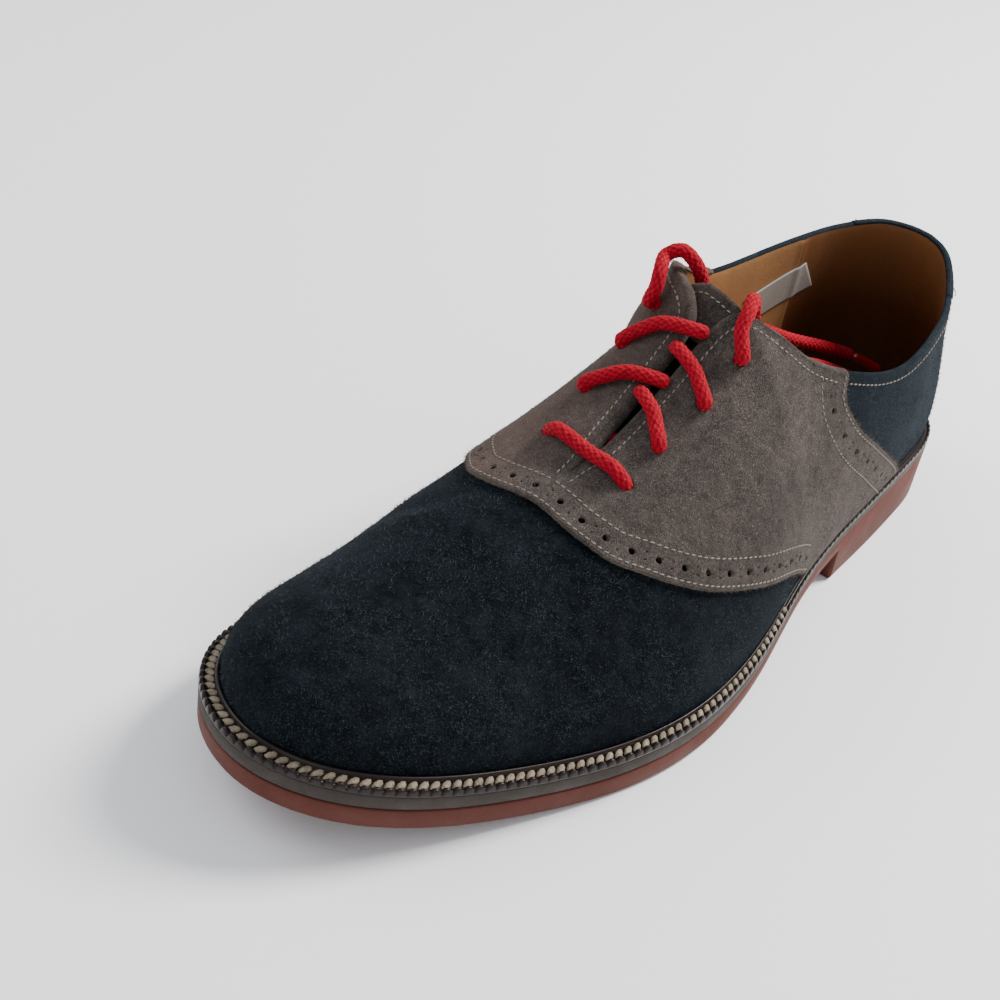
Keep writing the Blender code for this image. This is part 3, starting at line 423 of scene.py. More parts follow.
def suedeGroup():  # brushed patches, short light fibres, a felted relief and a lighter rear quarter, partly painted light
    tree, source, result = makeTree("suedeNap", "ShaderNodeTree", (
        ("Base", "Color", (0.01, 0.02, 0.03, 1)), ("Light", "Color", (0.1, 0.1, 0.1, 1)),
        ("Patch Scale", "Float", 40.0), ("Patches", "Float", 0.5), ("Fibres", "Float", 0.5),
        ("Fibre Scale", "Float", 1300.0), ("Rear Nap", "Float", 0.0)),
        (("Color", "Color"), ("Roughness", "Float"), ("Height", "Float")))
    given = source.outputs
    place = placeNode(tree)
    patch = rangeNode(tree, noiseNode(tree, place, given["Patch Scale"], 4, 0.6, 0.4), 0.36, 0.68)
    felt = noiseNode(tree, place, 240.0, 4, 0.65, 0.6)
    fibre = noiseNode(tree, place, given["Fibre Scale"], 3, 0.55, 2.6)
    fine = noiseNode(tree, place, 2600.0, 2, 0.6)
    # partly painted light: the rear quarter is lighter for its brushed nap and for the light that falls on it
    rear = times(tree, rangeNode(tree, partsNode(tree, place)[1], -0.09, -0.01), given["Rear Nap"])
    fleck = times(tree, rangeNode(tree, fibre, 0.53, 0.63), rangeNode(tree, patch, 0.0, 1.0, 0.45, 1.0))
    brushed = plus(tree, times(tree, patch, given["Patches"]), times(tree, fleck, given["Fibres"]))
    mottled = times(tree, rangeNode(tree, felt, 0.35, 0.7), 0.16)
    amount = plus(tree, brushed, plus(tree, mottled, rear))
    colour = mixColour(tree, amount, given["Base"], given["Light"])
    shade = rangeNode(tree, fine, 0.3, 0.7, 0.55, 1.35)
    coarse = plus(tree, times(tree, fibre, 0.7), times(tree, felt, 0.5))
    feed(tree, result, {"Color": mixColour(tree, 1.0, colour, shade, "MULTIPLY"),
                        "Roughness": rangeNode(tree, felt, 0.3, 0.7, 0.82, 0.98),
                        "Height": plus(tree, coarse, times(tree, fine, 0.35))})
    return tree


def grainGroup():  # fine pored leather or rubber, with soft clouding
    tree, source, result = makeTree("fineGrain", "ShaderNodeTree", (
        ("Base", "Color", (0.2, 0.1, 0.05, 1)), ("Shade", "Color", (0.1, 0.05, 0.02, 1)),
        ("Cloud Scale", "Float", 30.0), ("Clouding", "Float", 0.5), ("Grain Scale", "Float", 900.0)),
        (("Color", "Color"), ("Mask", "Float"), ("Height", "Float")))
    given = source.outputs
    place = placeNode(tree)
    cloud = rangeNode(tree, noiseNode(tree, place, given["Cloud Scale"], 5, 0.6, 0.5), 0.34, 0.68)
    speck = noiseNode(tree, place, 1800.0, 3, 0.6)
    cells = addNode(tree, "ShaderNodeTexVoronoi", {"Vector": place, "Scale": given["Grain Scale"]})
    colour = mixColour(tree, times(tree, cloud, given["Clouding"]), given["Base"], given["Shade"])
    shade = rangeNode(tree, speck, 0.3, 0.7, 0.86, 1.10)
    feed(tree, result, {"Color": mixColour(tree, 1.0, colour, shade, "MULTIPLY"), "Mask": cloud,
                        "Height": plus(tree, times(tree, cells.outputs["Distance"], 0.5), speck)})
    return tree


groups = {"suede": suedeGroup(), "grain": grainGroup()}


def newMaterial(name, group, values, bump, distance, roughness=None, **sockets):
    material = bpy.data.materials.new(name)
    material.use_nodes = True
    tree = material.node_tree
    shader = tree.nodes["Principled BSDF"]
    for key, value in sockets.items():
        shader.inputs[key.replace("_", " ")].default_value = value
    effect = addNode(tree, "ShaderNodeGroup", node_tree=groups[group])
    feed(tree, effect, values)
    made = effect.outputs
    rough = rangeNode(tree, made["Mask"], 0.0, 1.0, *roughness) if roughness else made["Roughness"]
    relief = addNode(tree, "ShaderNodeBump", {"Height": made["Height"]}, Strength=bump, Distance=distance)
    feed(tree, shader, {"Base Color": made["Color"], "Roughness": rough, "Normal": relief.outputs["Normal"]})
    return material


finishes = {  # colours are linear
    # the navy's rear quarter is lighter, partly from brushed nap and partly from painted light
    "navy": newMaterial("navySuede", "suede", {
        "Base": (0.0010, 0.0017, 0.0027), "Light": (0.045, 0.060, 0.072), "Patch Scale": 26.0,
        "Patches": 0.05, "Fibres": 0.30, "Fibre Scale": 900.0, "Rear Nap": 0.25}, 0.8, 0.0008,
        Sheen_Weight=0.025, Sheen_Roughness=0.45, Sheen_Tint=(0.5, 0.65, 0.85, 1), Specular_IOR_Level=0.04),
    "taupe": newMaterial("taupeSuede", "suede", {
        "Base": (0.023, 0.0186, 0.0162), "Light": (0.245, 0.202, 0.178), "Patch Scale": 22.0,
        "Patches": 0.09, "Fibres": 0.40}, 0.70, 0.0006,
        Sheen_Weight=0.06, Sheen_Roughness=0.5, Sheen_Tint=(0.9, 0.8, 0.75, 1), Specular_IOR_Level=0.1),
    # painted shade: nearly black suede on the tongue where it shows through the slit between the flaps
    "slit": newMaterial("slitPaintedShade", "suede", {
        "Base": (0.004, 0.003, 0.0027), "Light": (0.020, 0.016, 0.014), "Patch Scale": 22.0,
        "Patches": 0.10, "Fibres": 0.30}, 0.70, 0.0006, Specular_IOR_Level=0.05),
    "navyFibre": newMaterial("navyFibre", "grain", {
        "Base": (0.050, 0.066, 0.076), "Shade": (0.010, 0.015, 0.020), "Cloud Scale": 500.0,
        "Clouding": 0.9}, 0.0, 0.0001, roughness=(0.8, 0.9), Specular_IOR_Level=0.1),
    "taupeFibre": newMaterial("taupeFibre", "grain", {
        "Base": (0.230, 0.195, 0.172), "Shade": (0.020, 0.015, 0.012), "Cloud Scale": 500.0,
        "Clouding": 0.9}, 0.0, 0.0001, roughness=(0.8, 0.9), Specular_IOR_Level=0.1),
    "cutEdge": newMaterial("cutSuedeEdge", "suede", {
        "Base": (0.070, 0.058, 0.050), "Light": (0.220, 0.190, 0.165), "Patch Scale": 60.0,
        "Patches": 0.2, "Fibres": 0.5}, 0.8, 0.0005, Specular_IOR_Level=0.1),
    "lining": newMaterial("liningLeather", "grain", {
        "Base": (0.330, 0.165, 0.062), "Shade": (0.180, 0.080, 0.026), "Cloud Scale": 24.0,
        "Clouding": 0.7}, 0.25, 0.0003, roughness=(0.42, 0.62)),
    # partly painted shade: a darker copy of the lining leather for the inside behind the seam, partly also
    # darker leather
    "rearLiningAndShade": newMaterial("rearLiningLeatherAndShade", "grain", {
        "Base": (0.090, 0.029, 0.008), "Shade": (0.045, 0.014, 0.004), "Cloud Scale": 20.0,
        "Clouding": 0.8}, 0.25, 0.0003, roughness=(0.42, 0.62), Specular_IOR_Level=0.3),
    "insole": newMaterial("insoleLeather", "grain", {
        "Base": (0.300, 0.140, 0.052), "Shade": (0.160, 0.068, 0.024), "Cloud Scale": 18.0,
        "Clouding": 0.6, "Grain Scale": 800.0}, 0.22, 0.0003, roughness=(0.45, 0.65)),
    "welt": newMaterial("polishedWelt", "grain", {
        "Base": (0.015, 0.0085, 0.0060), "Shade": (0.006, 0.0035, 0.003), "Cloud Scale": 60.0,
        "Clouding": 0.6, "Grain Scale": 700.0}, 0.10, 0.0002, roughness=(0.30, 0.42), Coat_Weight=0.12,
        Coat_Roughness=0.12, Specular_IOR_Level=0.2),
    "midsole": newMaterial("trimmedEdge", "grain", {
        "Base": (0.045, 0.035, 0.0280), "Shade": (0.022, 0.0165, 0.0125), "Cloud Scale": 70.0,
        "Clouding": 0.55, "Grain Scale": 1200.0}, 0.35, 0.0003, roughness=(0.60, 0.78),
        Specular_IOR_Level=0.3),
    "rubber": newMaterial("brickRubber", "grain", {
        "Base": (0.102, 0.0250, 0.0150), "Shade": (0.070, 0.0165, 0.0098), "Cloud Scale": 45.0,
        "Clouding": 0.5, "Grain Scale": 1500.0}, 0.30, 0.0003, roughness=(0.62, 0.80),
        Specular_IOR_Level=0.3),
    "thread": newMaterial("linenThread", "grain", {
        "Base": (0.215, 0.190, 0.152), "Shade": (0.125, 0.108, 0.084), "Cloud Scale": 300.0,
        "Clouding": 0.6, "Grain Scale": 2500.0}, 0.4, 0.0002, roughness=(0.70, 0.85)),
    "weltThread": newMaterial("weltThread", "grain", {
        "Base": (0.270, 0.220, 0.150), "Shade": (0.095, 0.070, 0.045), "Cloud Scale": 420.0,
        "Clouding": 0.75, "Grain Scale": 1800.0}, 0.6, 0.0004, roughness=(0.50, 0.75)),
    "lace": newMaterial("braidedLace", "grain", {
        "Base": (0.430, 0.0050, 0.0190), "Shade": (0.290, 0.0030, 0.0120), "Cloud Scale": 500.0,
        "Clouding": 0.6, "Grain Scale": 2600.0}, 0.8, 0.0005, roughness=(0.78, 0.92), Sheen_Weight=0.06,
        Sheen_Roughness=0.4, Sheen_Tint=(1.0, 0.2, 0.2, 1), Specular_IOR_Level=0.15),
    "aglet": newMaterial("lacetip", "grain", {
        "Base": (0.300, 0.006, 0.008), "Shade": (0.200, 0.004, 0.006), "Cloud Scale": 100.0,
        "Clouding": 0.4, "Grain Scale": 500.0}, 0.05, 0.0001, roughness=(0.18, 0.26), Coat_Weight=0.5),
    "label": newMaterial("blankLabel", "grain", {
        "Base": (0.250, 0.232, 0.200), "Shade": (0.190, 0.172, 0.145), "Cloud Scale": 60.0,
        "Clouding": 0.5, "Grain Scale": 1800.0}, 0.2, 0.0002, roughness=(0.55, 0.70)),
}


def recolour(material, change):  # the colour passes through one more step
    tree = material.node_tree
    shader = tree.nodes["Principled BSDF"]
    before = shader.inputs["Base Color"].links[0].from_socket
    feed(tree, shader, {"Base Color": change(tree, before)})


def grooveShade(tree, before):  # painted shade between the strands of the braid and a painted highlight on their crowns
    groove = addNode(tree, "ShaderNodeAttribute", attribute_name="groove").outputs["Fac"]
    return mixColour(tree, 1.0, before, rangeNode(tree, groove, 0.0, 1.0, 0.35, 1.15), "MULTIPLY")


def tintAlong(axis, low, high, colour, amount):  # another colour towards one end of an axis
    def tint(tree, before):
        factor = times(tree, rangeNode(tree, partsNode(tree, placeNode(tree))[axis], low, high), amount)
        return mixColour(tree, factor, before, colour)
    return tint

recolour(finishes["lace"], grooveShade)
# painted shade: the rear lining darker down into the heel and lighter towards its top edge, partly also leather
# patina
recolour(finishes["rearLiningAndShade"], tintAlong(2, 0.056, 0.100, (0.270, 0.115, 0.040), 0.75))
recolour(finishes["taupe"], tintAlong(0, 0.0, -0.022, (0.155, 0.085, 0.062), 0.30))

print("saddle shoe: camera and laces")

view = {  # camera fitted to the photo: turn, rise and roll in degrees, distance and target in metres
    "turn": 38.38, "rise": 36.18, "roll": 10.14, "distance": 0.47002,
    "target": (-0.02247, -0.15428, 0.04023), "focal": 57.45,
}


def addCamera():
    turn, rise, roll = (math.radians(view[key]) for key in ("turn", "rise", "roll"))
    away = Vector((math.sin(turn) * math.cos(rise), -math.cos(turn) * math.cos(rise), math.sin(rise)))
    right = (-away).cross(Vector((0, 0, 1))).normalized()
    up = right.cross(-away).normalized()
    across = right * math.cos(roll) + up * math.sin(roll)
    upright = -right * math.sin(roll) + up * math.cos(roll)
    matrix = Matrix((across, upright, away)).transposed().to_4x4()
    matrix.translation = Vector(view["target"]) + away * view["distance"]
    data = bpy.data.cameras.new("photoCamera")
    data.lens = view["focal"]
    data.sensor_width = 36.0
    camera = addObject("photoCamera", data)
    camera.matrix_world = matrix
    scene.camera = camera


addCamera()

laces = {  # round braid; lengths in metres
    "radius": 0.0021, "lift": 0.0003, "layer": 0.0017, "strands": 8, "plait": 0.0026, "relief": 0.00028,
    "level": 0.75, "groove": (0.25, 0.65), "step": 0.0003, "around": 30, "agletLength": 0.014,
    "agletRadius": 0.0016,
}
eyelets = {  # pair: (station, height) on the outer side, then on the inner side
    1: ((0.457, 0.841), (0.466, 0.818)), 2: ((0.503, 0.866), (0.518, 0.815)),
    3: ((0.553, 0.848), (0.566, 0.795)), 4: ((0.598, 0.842), (0.603, 0.836)),
}
endRoutes = {  # over the flap (station, height, extra lift), then the points inside the shoe
    -1: (((0.610, 0.895, 0.0014), (0.618, 0.935, 0.0024)),
         ((-0.0214, -0.0992, 0.1066), (-0.0182, -0.0957, 0.1088), (-0.0140, -0.0930, 0.1050),
          (-0.0122, -0.0900, 0.0985), (-0.0115, -0.0850, 0.0900), (-0.0130, -0.0740, 0.0800),
          (-0.0175, -0.0560, 0.0700), (-0.0190, -0.0400, 0.0640), (-0.0160, -0.0210, 0.0550),
          (-0.0120, -0.0030, 0.0480), (-0.0070, 0.0110, 0.0420), (0.0000, 0.0200, 0.0370))),
    1: (((0.609, 0.925, 0.0012), (0.619, 0.985, 0.0014)),
        ((0.0075, -0.0935, 0.1045), (0.0068, -0.0895, 0.0965), (0.0060, -0.0850, 0.0870),
         (0.0030, -0.0740, 0.0750), (-0.0030, -0.0480, 0.0610), (-0.0070, -0.0210, 0.0500),
         (-0.0060, -0.0040, 0.0420), (0.0000, 0.0080, 0.0360), (0.0080, 0.0160, 0.0320))),
}


def smoothRoute(points, spacing):
    points = np.asarray(points, float)
    chord = pathLength(points)
    at = np.linspace(0.0, chord[-1], max(3, int(round(chord[-1] / spacing)) + 1))
    padded = np.concatenate([[2 * points[0] - points[1]], points, [2 * points[-1] - points[-2]]])
    i = np.clip(np.searchsorted(chord, at, side="right") - 1, 0, len(points) - 2)
    f = ((at - chord[i]) / (chord[i + 1] - chord[i]))[:, None]
    a, b, c, d = padded[i], padded[i + 1], padded[i + 2], padded[i + 3]
    return 0.5 * (2 * b + (c - a) * f + (2 * a - 5 * b + 4 * c - d) * f**2 + (3 * b - a - 3 * c + d) * f**3)


def evenRoute(points, spacing):  # the same line at even steps of its own length
    along = pathLength(points)
    at = np.linspace(0, along[-1], max(4, int(round(along[-1] / spacing)) + 1))
    return np.stack([np.interp(at, along, points[:, k]) for k in range(3)], -1), at


def routeFrames(route):  # directions across a route that turn as little as they can
    ahead = np.gradient(route, axis=0)
    ahead /= np.linalg.norm(ahead, axis=1)[:, None]
    side = np.cross(ahead[0], (0.3, 0.2, 1.0))
    sides = []
    for way in ahead:
        side = side - way * np.dot(side, way)
        side /= np.linalg.norm(side)
        sides.append(side)
    sides = np.array(sides)
    return sides, np.cross(ahead, sides)


def braidRelief(turn, along):  # strands of both hands that pass over and under each other
    first = turn * laces["strands"] + along / laces["plait"]
    second = turn * laces["strands"] - along / laces["plait"]
    over = (np.floor(first) + np.floor(second)) % 2 == 0
    ridge = np.where(over, np.sin(np.pi * (first % 1)), np.sin(np.pi * (second % 1)))
    hump = np.where(over, np.sin(np.pi * (second % 1)), np.sin(np.pi * (first % 1)))
    return 0.62 * ridge + 0.38 * np.sqrt(np.abs(hump))


def braidTube(build, points, radius=None, plain=False):
    route, along = evenRoute(smoothRoute(points, 0.001), laces["step"] * (3 if plain else 1))
    sides, others = routeFrames(route)
    turns = np.arange(laces["around"]) / laces["around"]
    radii = np.full((len(route), len(turns)), radius or laces["radius"])
    if not plain:
        relief = braidRelief(turns[None, :], along[:, None])
        radii = radii + (relief - laces["level"]) * laces["relief"] * 2
    ends = np.minimum(along, along[-1] - along) / laces["radius"]
    radii *= np.sqrt(np.clip(1 - (1 - np.clip(ends, 0, 1))**2, 0.05, 1))[:, None]
    angle = turns * 2 * math.pi
    ring = sides[:, None] * np.cos(angle)[None, :, None] + others[:, None] * np.sin(angle)[None, :, None]
    points = route[:, None] + ring * radii[..., None]
    layer = build.verts.layers.float.get("groove") or build.verts.layers.float.new("groove")
    made = addGrid(build, np.concatenate([points, points[:, :1]], 1))
    # the groove layer places the lace's painted shade and highlight: 0 deep between the strands, 1 on their
    # crowns
    if not plain:
        deep, span = laces["groove"]
        for i, row in enumerate(made):
            for j, vert in enumerate(row):
                vert[layer] = float(np.clip((relief[i, j % len(turns)] - deep) / span, 0, 1))
    for row, centre in ((made[0], route[0]), (made[-1], route[-1])):
        middle = build.verts.new(centre)
        for a, b in zip(row[:-1], row[1:]):
            build.faces.new((a, b, middle))
def eyeletPlace(side, pair):
    return eyelets[pair][0 if side > 0 else 1]


def eyeletPoint(side, pair, lift):
    return overUpper(side, *eyeletPlace(side, pair), lift)


def flapPoint(side, station, height, lift=0.0):
    return overUpper(side, station, height, laces["layer"] + laces["radius"] + laces["lift"] + lift)


def slitPoint(station, lift=0.0):
    return (flapPoint(1, station, 1.0, lift) + flapPoint(-1, station, 1.0, lift)) / 2


def outStrand(side, pair, station, sink):  # from under the flap, up the eyelet, over the flap into the slit
    own, level = eyeletPlace(side, pair)
    points = [overUpper(side, own + 0.004, level + 0.03, -0.0052), eyeletPoint(side, pair, -0.0028),
              eyeletPoint(side, pair, 0.0004), eyeletPoint(side, pair, laces["layer"] + 0.0016)]
    points += [flapPoint(side, own + (station - own) * share, level + (1.0 - level) * share, -0.0003)
               for share in (0.35, 0.70)]
    away = slitPoint(station, 0.0) - points[-1]
    points += [slitPoint(station, -0.0010), slitPoint(station, -sink) + away * 0.45]
    return points


def lacePiece(name, routes, *nodes):
    build = bmesh.new()
    for route in routes:
        braidTube(build, route)
    piece = finishMesh(name, build, [finishes["lace"]])
    settle(piece, "lace_cord", *nodes)
    return piece


def makeLaces():
    bar = [overUpper(-1, 0.470, 0.86, -0.0050), eyeletPoint(-1, 1, -0.0026), eyeletPoint(-1, 1, 0.0006),
           flapPoint(-1, 0.461, 0.89, 0.0), slitPoint(0.452, -0.0012),
           flapPoint(1, 0.4545, 0.905, 0.0), eyeletPoint(1, 1, 0.0006),
           eyeletPoint(1, 1, -0.0026), overUpper(1, 0.462, 0.88, -0.0050)]
    under = [overUpper(-1, 0.478, 0.93, -0.0046), overUpper(-1, 0.484, 1.0, -0.0040),
             overUpper(1, 0.490, 1.0, -0.0040), overUpper(1, 0.496, 0.93, -0.0046)]
    lacePiece("laceBar", (bar, under), "lace_bar_1")
    for pair, inner, outer in ((2, 0.540, 0.524), (3, 0.586, 0.567)):  # where the strands reach the slit
        strands = outStrand(-1, pair, inner, 0.0030), outStrand(1, pair, outer, 0.0050)
        lacePiece("laceCrossing" + str(pair), strands, "lace_crossing_" + str(pair))
    for side, word, node in ((-1, "Inner", "lace_end_medial"), (1, "Outer", "lace_end_lateral")):
        over, inside = endRoutes[side]
        mouth = [eyeletPoint(side, 4, laces["layer"] + up) for up in (0.0006, 0.0026)]
        route = smoothRoute(mouth + [flapPoint(side, *row) for row in over]
                            + [np.array(point) for point in inside], 0.001)
        along = pathLength(route)
        tip = route[along >= along[-1] - laces["agletLength"]]
        cordRoute = route[along <= along[-1] - laces["agletLength"] + 0.001]
        piece = lacePiece("laceEnd" + word, [cordRoute], node)
        build = bmesh.new()
        braidTube(build, tip, laces["agletRadius"], plain=True)
        aglet = finishMesh("laceTip" + word, build, [finishes["aglet"]])
        settle(aglet, "lace_cord")
        tuck = [overUpper(side, 0.594, 0.88, -0.0050), eyeletPoint(side, 4, -0.0026),
                eyeletPoint(side, 4, 0.0008), eyeletPoint(side, 4, laces["layer"] + 0.0014)]
        lacePiece("laceTuck" + word, [tuck])


makeLaces()

print("saddle shoe: upper and lining")

upperDetail = {"toeColumns": 46, "vampColumns": 96, "throatColumns": 90, "quarterColumns": 110,
               "outerRows": 56, "innerRows": 24, "rimRows": 7, "seamStations": {1: 0.72, -1: 0.856},
               "seamRise": 0.0004, "seamWidth": 0.004}


def upperStations():
    bounds = (0.0, last["poleStation"], last["throatStation"], 0.70, 1.0)
    counts = [upperDetail[key] for key in ("toeColumns", "vampColumns", "throatColumns", "quarterColumns")]
    pieces = [np.linspace(a, b, n + 1)[1:] for a, b, n in zip(bounds[:-1], bounds[1:], counts)]
    return np.concatenate([[0.0]] + pieces)


def innerPoint(side, station, height):  # face of the lining, with a low seam where the leather changes to the darker rear finish, which is partly painted shade
    away = (station - upperDetail["seamStations"][side]) / upperDetail["seamWidth"]
    return offUpper(side, station, height, -(last["wall"] + upperDetail["seamRise"] * np.exp(-away**2)))


def makeUpper():
    stations = upperStations()
    topped = stations >= last["throatStation"] - 1e-9
    outerHeights, innerHeights = (np.linspace(0.0, 1.0, upperDetail[key] + 1)[None, :]
                                  for key in ("outerRows", "innerRows"))
    build = bmesh.new()
    for side in (1, -1):
        flip = side < 0
        outer = overUpper(side, stations[:, None], outerHeights, 0.0)
        inner = innerPoint(side, *np.broadcast_arrays(stations[:, None], innerHeights))
        rim = rimPoints(side, stations[topped], last["wall"] / 2, last["wall"] / 2, upperDetail["rimRows"])
        seam = int(np.argmin(np.abs(stations - upperDetail["seamStations"][side])))
        addGrid(build, outer, 0, flip)
        addGrid(build, np.concatenate([outer[topped, -1:], rim, inner[topped, -1:]], 1), 0, flip)
        addGrid(build, inner[:seam + 1], 1, not flip)
        # behind the seam the lining takes the darker rear finish, partly painted shade; on the outer side the
        # seam sits far forward so the shaded inside reads dark
        addGrid(build, inner[seam:], 2, not flip)
        addGrid(build, np.stack([inner[:, 0], outer[:, 0]], 1), 0, flip)
    return finishMesh("upperLeather", build, [finishes["navy"], finishes["lining"], finishes["rearLiningAndShade"]],
                      merge=0.00004, recalc=False)


saddleRows = {  # station of the edges at each height
    "front": ((0.0, 0.690), (0.08, 0.647), (0.16, 0.606), (0.27, 0.545), (0.42, 0.474), (0.54, 0.430),
              (0.68, 0.398), (0.85, 0.386), (1.0, 0.384)),
    "rear": ((0.0, 0.856), (0.12, 0.838), (0.30, 0.806), (0.54, 0.763), (0.74, 0.722), (0.86, 0.713),
             (1.0, 0.718)),
}
saddle = {"thickness": 0.0013, "gap": 0.0002, "foot": 0.03, "columns": 120, "frontColumns": 14, "rows": 76,
          "waver": 0.0004}
strap = {"thickness": 0.0007, "gap": 0.0002, "foot": 0.03, "columns": 26, "rows": 60, "thinFrom": 0.80,
         "thinOver": 0.18, "thinning": 0.85}
shellEdge = {"rimRows": 7, "tuck": 0.0003, "bulge": 0.18}
strapRows = ((0.0, 0.022), (0.50, 0.020), (0.72, 0.026), (0.86, 0.052), (1.0, 0.090))


def overlayShell(name, stations, heights, gap, thickness, openFrom, materials):
    # closed shell over both sides; stations are (columns, heights) from one edge to the other
    onHeel = name == "backStrap"
    thickness = np.broadcast_to(thickness, heights.shape)
    half = last["wall"] / 2
    roll = (half + gap + thickness[-1], half + min(shellEdge["tuck"], thickness[-1]), shellEdge["rimRows"])
    build = bmesh.new()
    for side in (1, -1):
        top = overUpper(side, stations, heights[None, :], gap + thickness[None, :])
        low = overUpper(side, stations, heights[None, :], gap)
        for face, lift in ((top, gap + thickness), (low, gap)):
            if onHeel:  # both sides share the middle line of the heel
                face[0] = (overUpper(1, 1.0, heights, lift) + overUpper(-1, 1.0, heights, lift)) / 2
            else:  # both sides share the ridge in front of the throat
                shared = stations[:, -1] <= last["throatStation"] + 1e-6
                own, least = stations[:, -1][shared], np.min(lift)
                face[shared, -1] = (overUpper(1, own, 1.0, least) + overUpper(-1, own, 1.0, least)) / 2
        flip = (side < 0) != onHeel
        addGrid(build, top, 0, flip)
        addGrid(build, low, 0, not flip)
        rimmed = stations[openFrom:, -1]
        rim = rimPoints(side, rimmed, *roll)
        if onHeel:
            rim[:1] = (rimPoints(1, rimmed[:1], *roll) + rimPoints(-1, rimmed[:1], *roll)) / 2
        band = np.concatenate([top[openFrom:, -1:], rim, low[openFrom:, -1:]], 1)
        addGrid(build, band, 0, flip)
        for k, back in ([] if onHeel else [(0, False)]) + [(len(stations) - 1, True)]:
            out = top[k] - top[k + (-1 if back else 1)]
            out = out / np.linalg.norm(out, axis=1)[:, None] * thickness[:, None] * shellEdge["bulge"]
            addGrid(build, np.stack([top[k], (top[k] + low[k]) / 2 + out, low[k]], 0), 1, flip)
            if back or openFrom == 0:
                build.faces.new([build.verts.new(point) for point in band[-1 if back else 0]])
        addGrid(build, np.stack([top[:, 0], low[:, 0]], 1), 1, not flip)
    return finishMesh(name, build, materials, merge=0.00002)


def makeSaddle():
    heights = np.linspace(saddle["foot"], 1.0, saddle["rows"] + 1)
    front = easeRows(saddleRows["front"], heights) + unevenness(heights * 3, saddle["waver"])
    rear = easeRows(saddleRows["rear"], heights) + unevenness(heights * 2 + 1, saddle["waver"])
    front[-1], rear[-1] = saddleRows["front"][-1][1], saddleRows["rear"][-1][1]
    join = (last["throatStation"] - front[-1]) / (rear[-1] - front[-1])
    openFrom = saddle["frontColumns"]
    shares = np.concatenate([np.linspace(0, join, openFrom + 1),
                             np.linspace(join, 1, saddle["columns"] - openFrom + 1)[1:]])
    stations = front[None, :] + (rear - front)[None, :] * shares[:, None]
    return overlayShell("saddleLeather", stations, heights, saddle["gap"], saddle["thickness"], openFrom,
                        [finishes["taupe"], finishes["cutEdge"]])


def makeStrap():
    heights = np.linspace(strap["foot"], 1.0, strap["rows"] + 1)
    width = easeRows(strapRows, heights)
    stations = 1.0 - width[None, :] * np.linspace(0.0, 1.0, strap["columns"] + 1)[:, None]
    fade = np.clip((heights - strap["thinFrom"]) / strap["thinOver"], 0, 1)
    thickness = strap["thickness"] * (1 - strap["thinning"] * fade)
    return overlayShell("backStrap", stations, heights, strap["gap"], thickness, 0,
                        [finishes["navy"], finishes["navy"]])


upperPiece = makeUpper()
saddlePiece = makeSaddle()
strapPiece = makeStrap()

print("saddle shoe: tongue, insole and label")

tongue = {  # lengths in metres; foot rows give the height of the lower edge at each station
    "thickness": 0.0026, "clear": 0.0009, "columns": 60, "rows": 34, "reach": 0.0115, "narrow": 0.06,
    "stations": (0.37, 0.595), "foot": ((0.37, 0.62), (0.50, 0.66), (0.60, 0.80)),
    "sink": 0.0045, "sunk": (0.43, 0.588), "slope": 0.03, "paintedShade": (0.40, 0.582),
}


def thicken(piece, thickness, offset):
    modifier = piece.modifiers.new("thickness", "SOLIDIFY")
    modifier.thickness, modifier.offset = thickness, offset


def makeTongue():
    stations = np.linspace(*tongue["stations"], tongue["columns"] + 1)
    foot = easeRows(tongue["foot"], stations)
    shares = np.linspace(0.0, 1.0, tongue["rows"] // 2 + 1)
    heights = foot[:, None] + (1.0 - foot)[:, None] * shares[None, :]
    start, end = tongue["sunk"]
    low = (np.clip((stations - start) / tongue["slope"], 0, 1)
           * np.clip((end - stations) / tongue["slope"], 0, 1))
    depth = -(last["wall"] + tongue["clear"] + tongue["sink"] * low)[:, None]
    lateral, medial = (offUpper(side, stations[:, None], heights, depth) for side in (1, -1))
    middle = (lateral[:, -1:] + medial[:, -1:]) / 2
    points = np.concatenate([medial[:, :-1], middle, lateral[:, ::-1][:, 1:]], axis=1)
    run = points[-1] - points[-8]
    run = (run / np.linalg.norm(run, axis=1)[:, None]).mean(0)
    across = np.linspace(-1.0, 1.0, points.shape[1])
    topRow = points[-1].copy()
    for reach in np.linspace(0, tongue["reach"], 9)[1:]:
        shrink = 1.0 - tongue["narrow"] * (reach / tongue["reach"]) * np.abs(across)**3
        points = np.concatenate([points, (topRow + run * (reach * shrink)[:, None])[None]], axis=0)
    build = bmesh.new()
    # painted shade: the rows between these stations take the nearly black suede seen through the slit
    first, final = (int(np.argmin(np.abs(stations - edge))) for edge in tongue["paintedShade"])
    addGrid(build, points[:first + 1])
    addGrid(build, points[first:final + 1], 1)
    addGrid(build, points[final:])
    bmesh.ops.remove_doubles(build, verts=build.verts[:], dist=0.00001)
    bmesh.ops.recalc_face_normals(build, faces=build.faces[:])
    build.normal_update()
    if build.faces[len(build.faces) // 2].normal.z < 0:
        bmesh.ops.reverse_faces(build, faces=build.faces[:])
    piece = finishMesh("tongueLeather", build, [finishes["taupe"], finishes["slit"]], recalc=False)
    thicken(piece, tongue["thickness"], -1.0)
    return piece, points


def shareSteps(count):
    return (1 - np.cos(np.linspace(0.0, math.pi, count + 1))) / 2


insole = {"columns": 120, "rows": 24, "thickness": 0.0030, "gap": 0.0008, "under": 0.0002, "dish": 0.0016,
          "sink": 0.0004, "ripple": 0.0002}


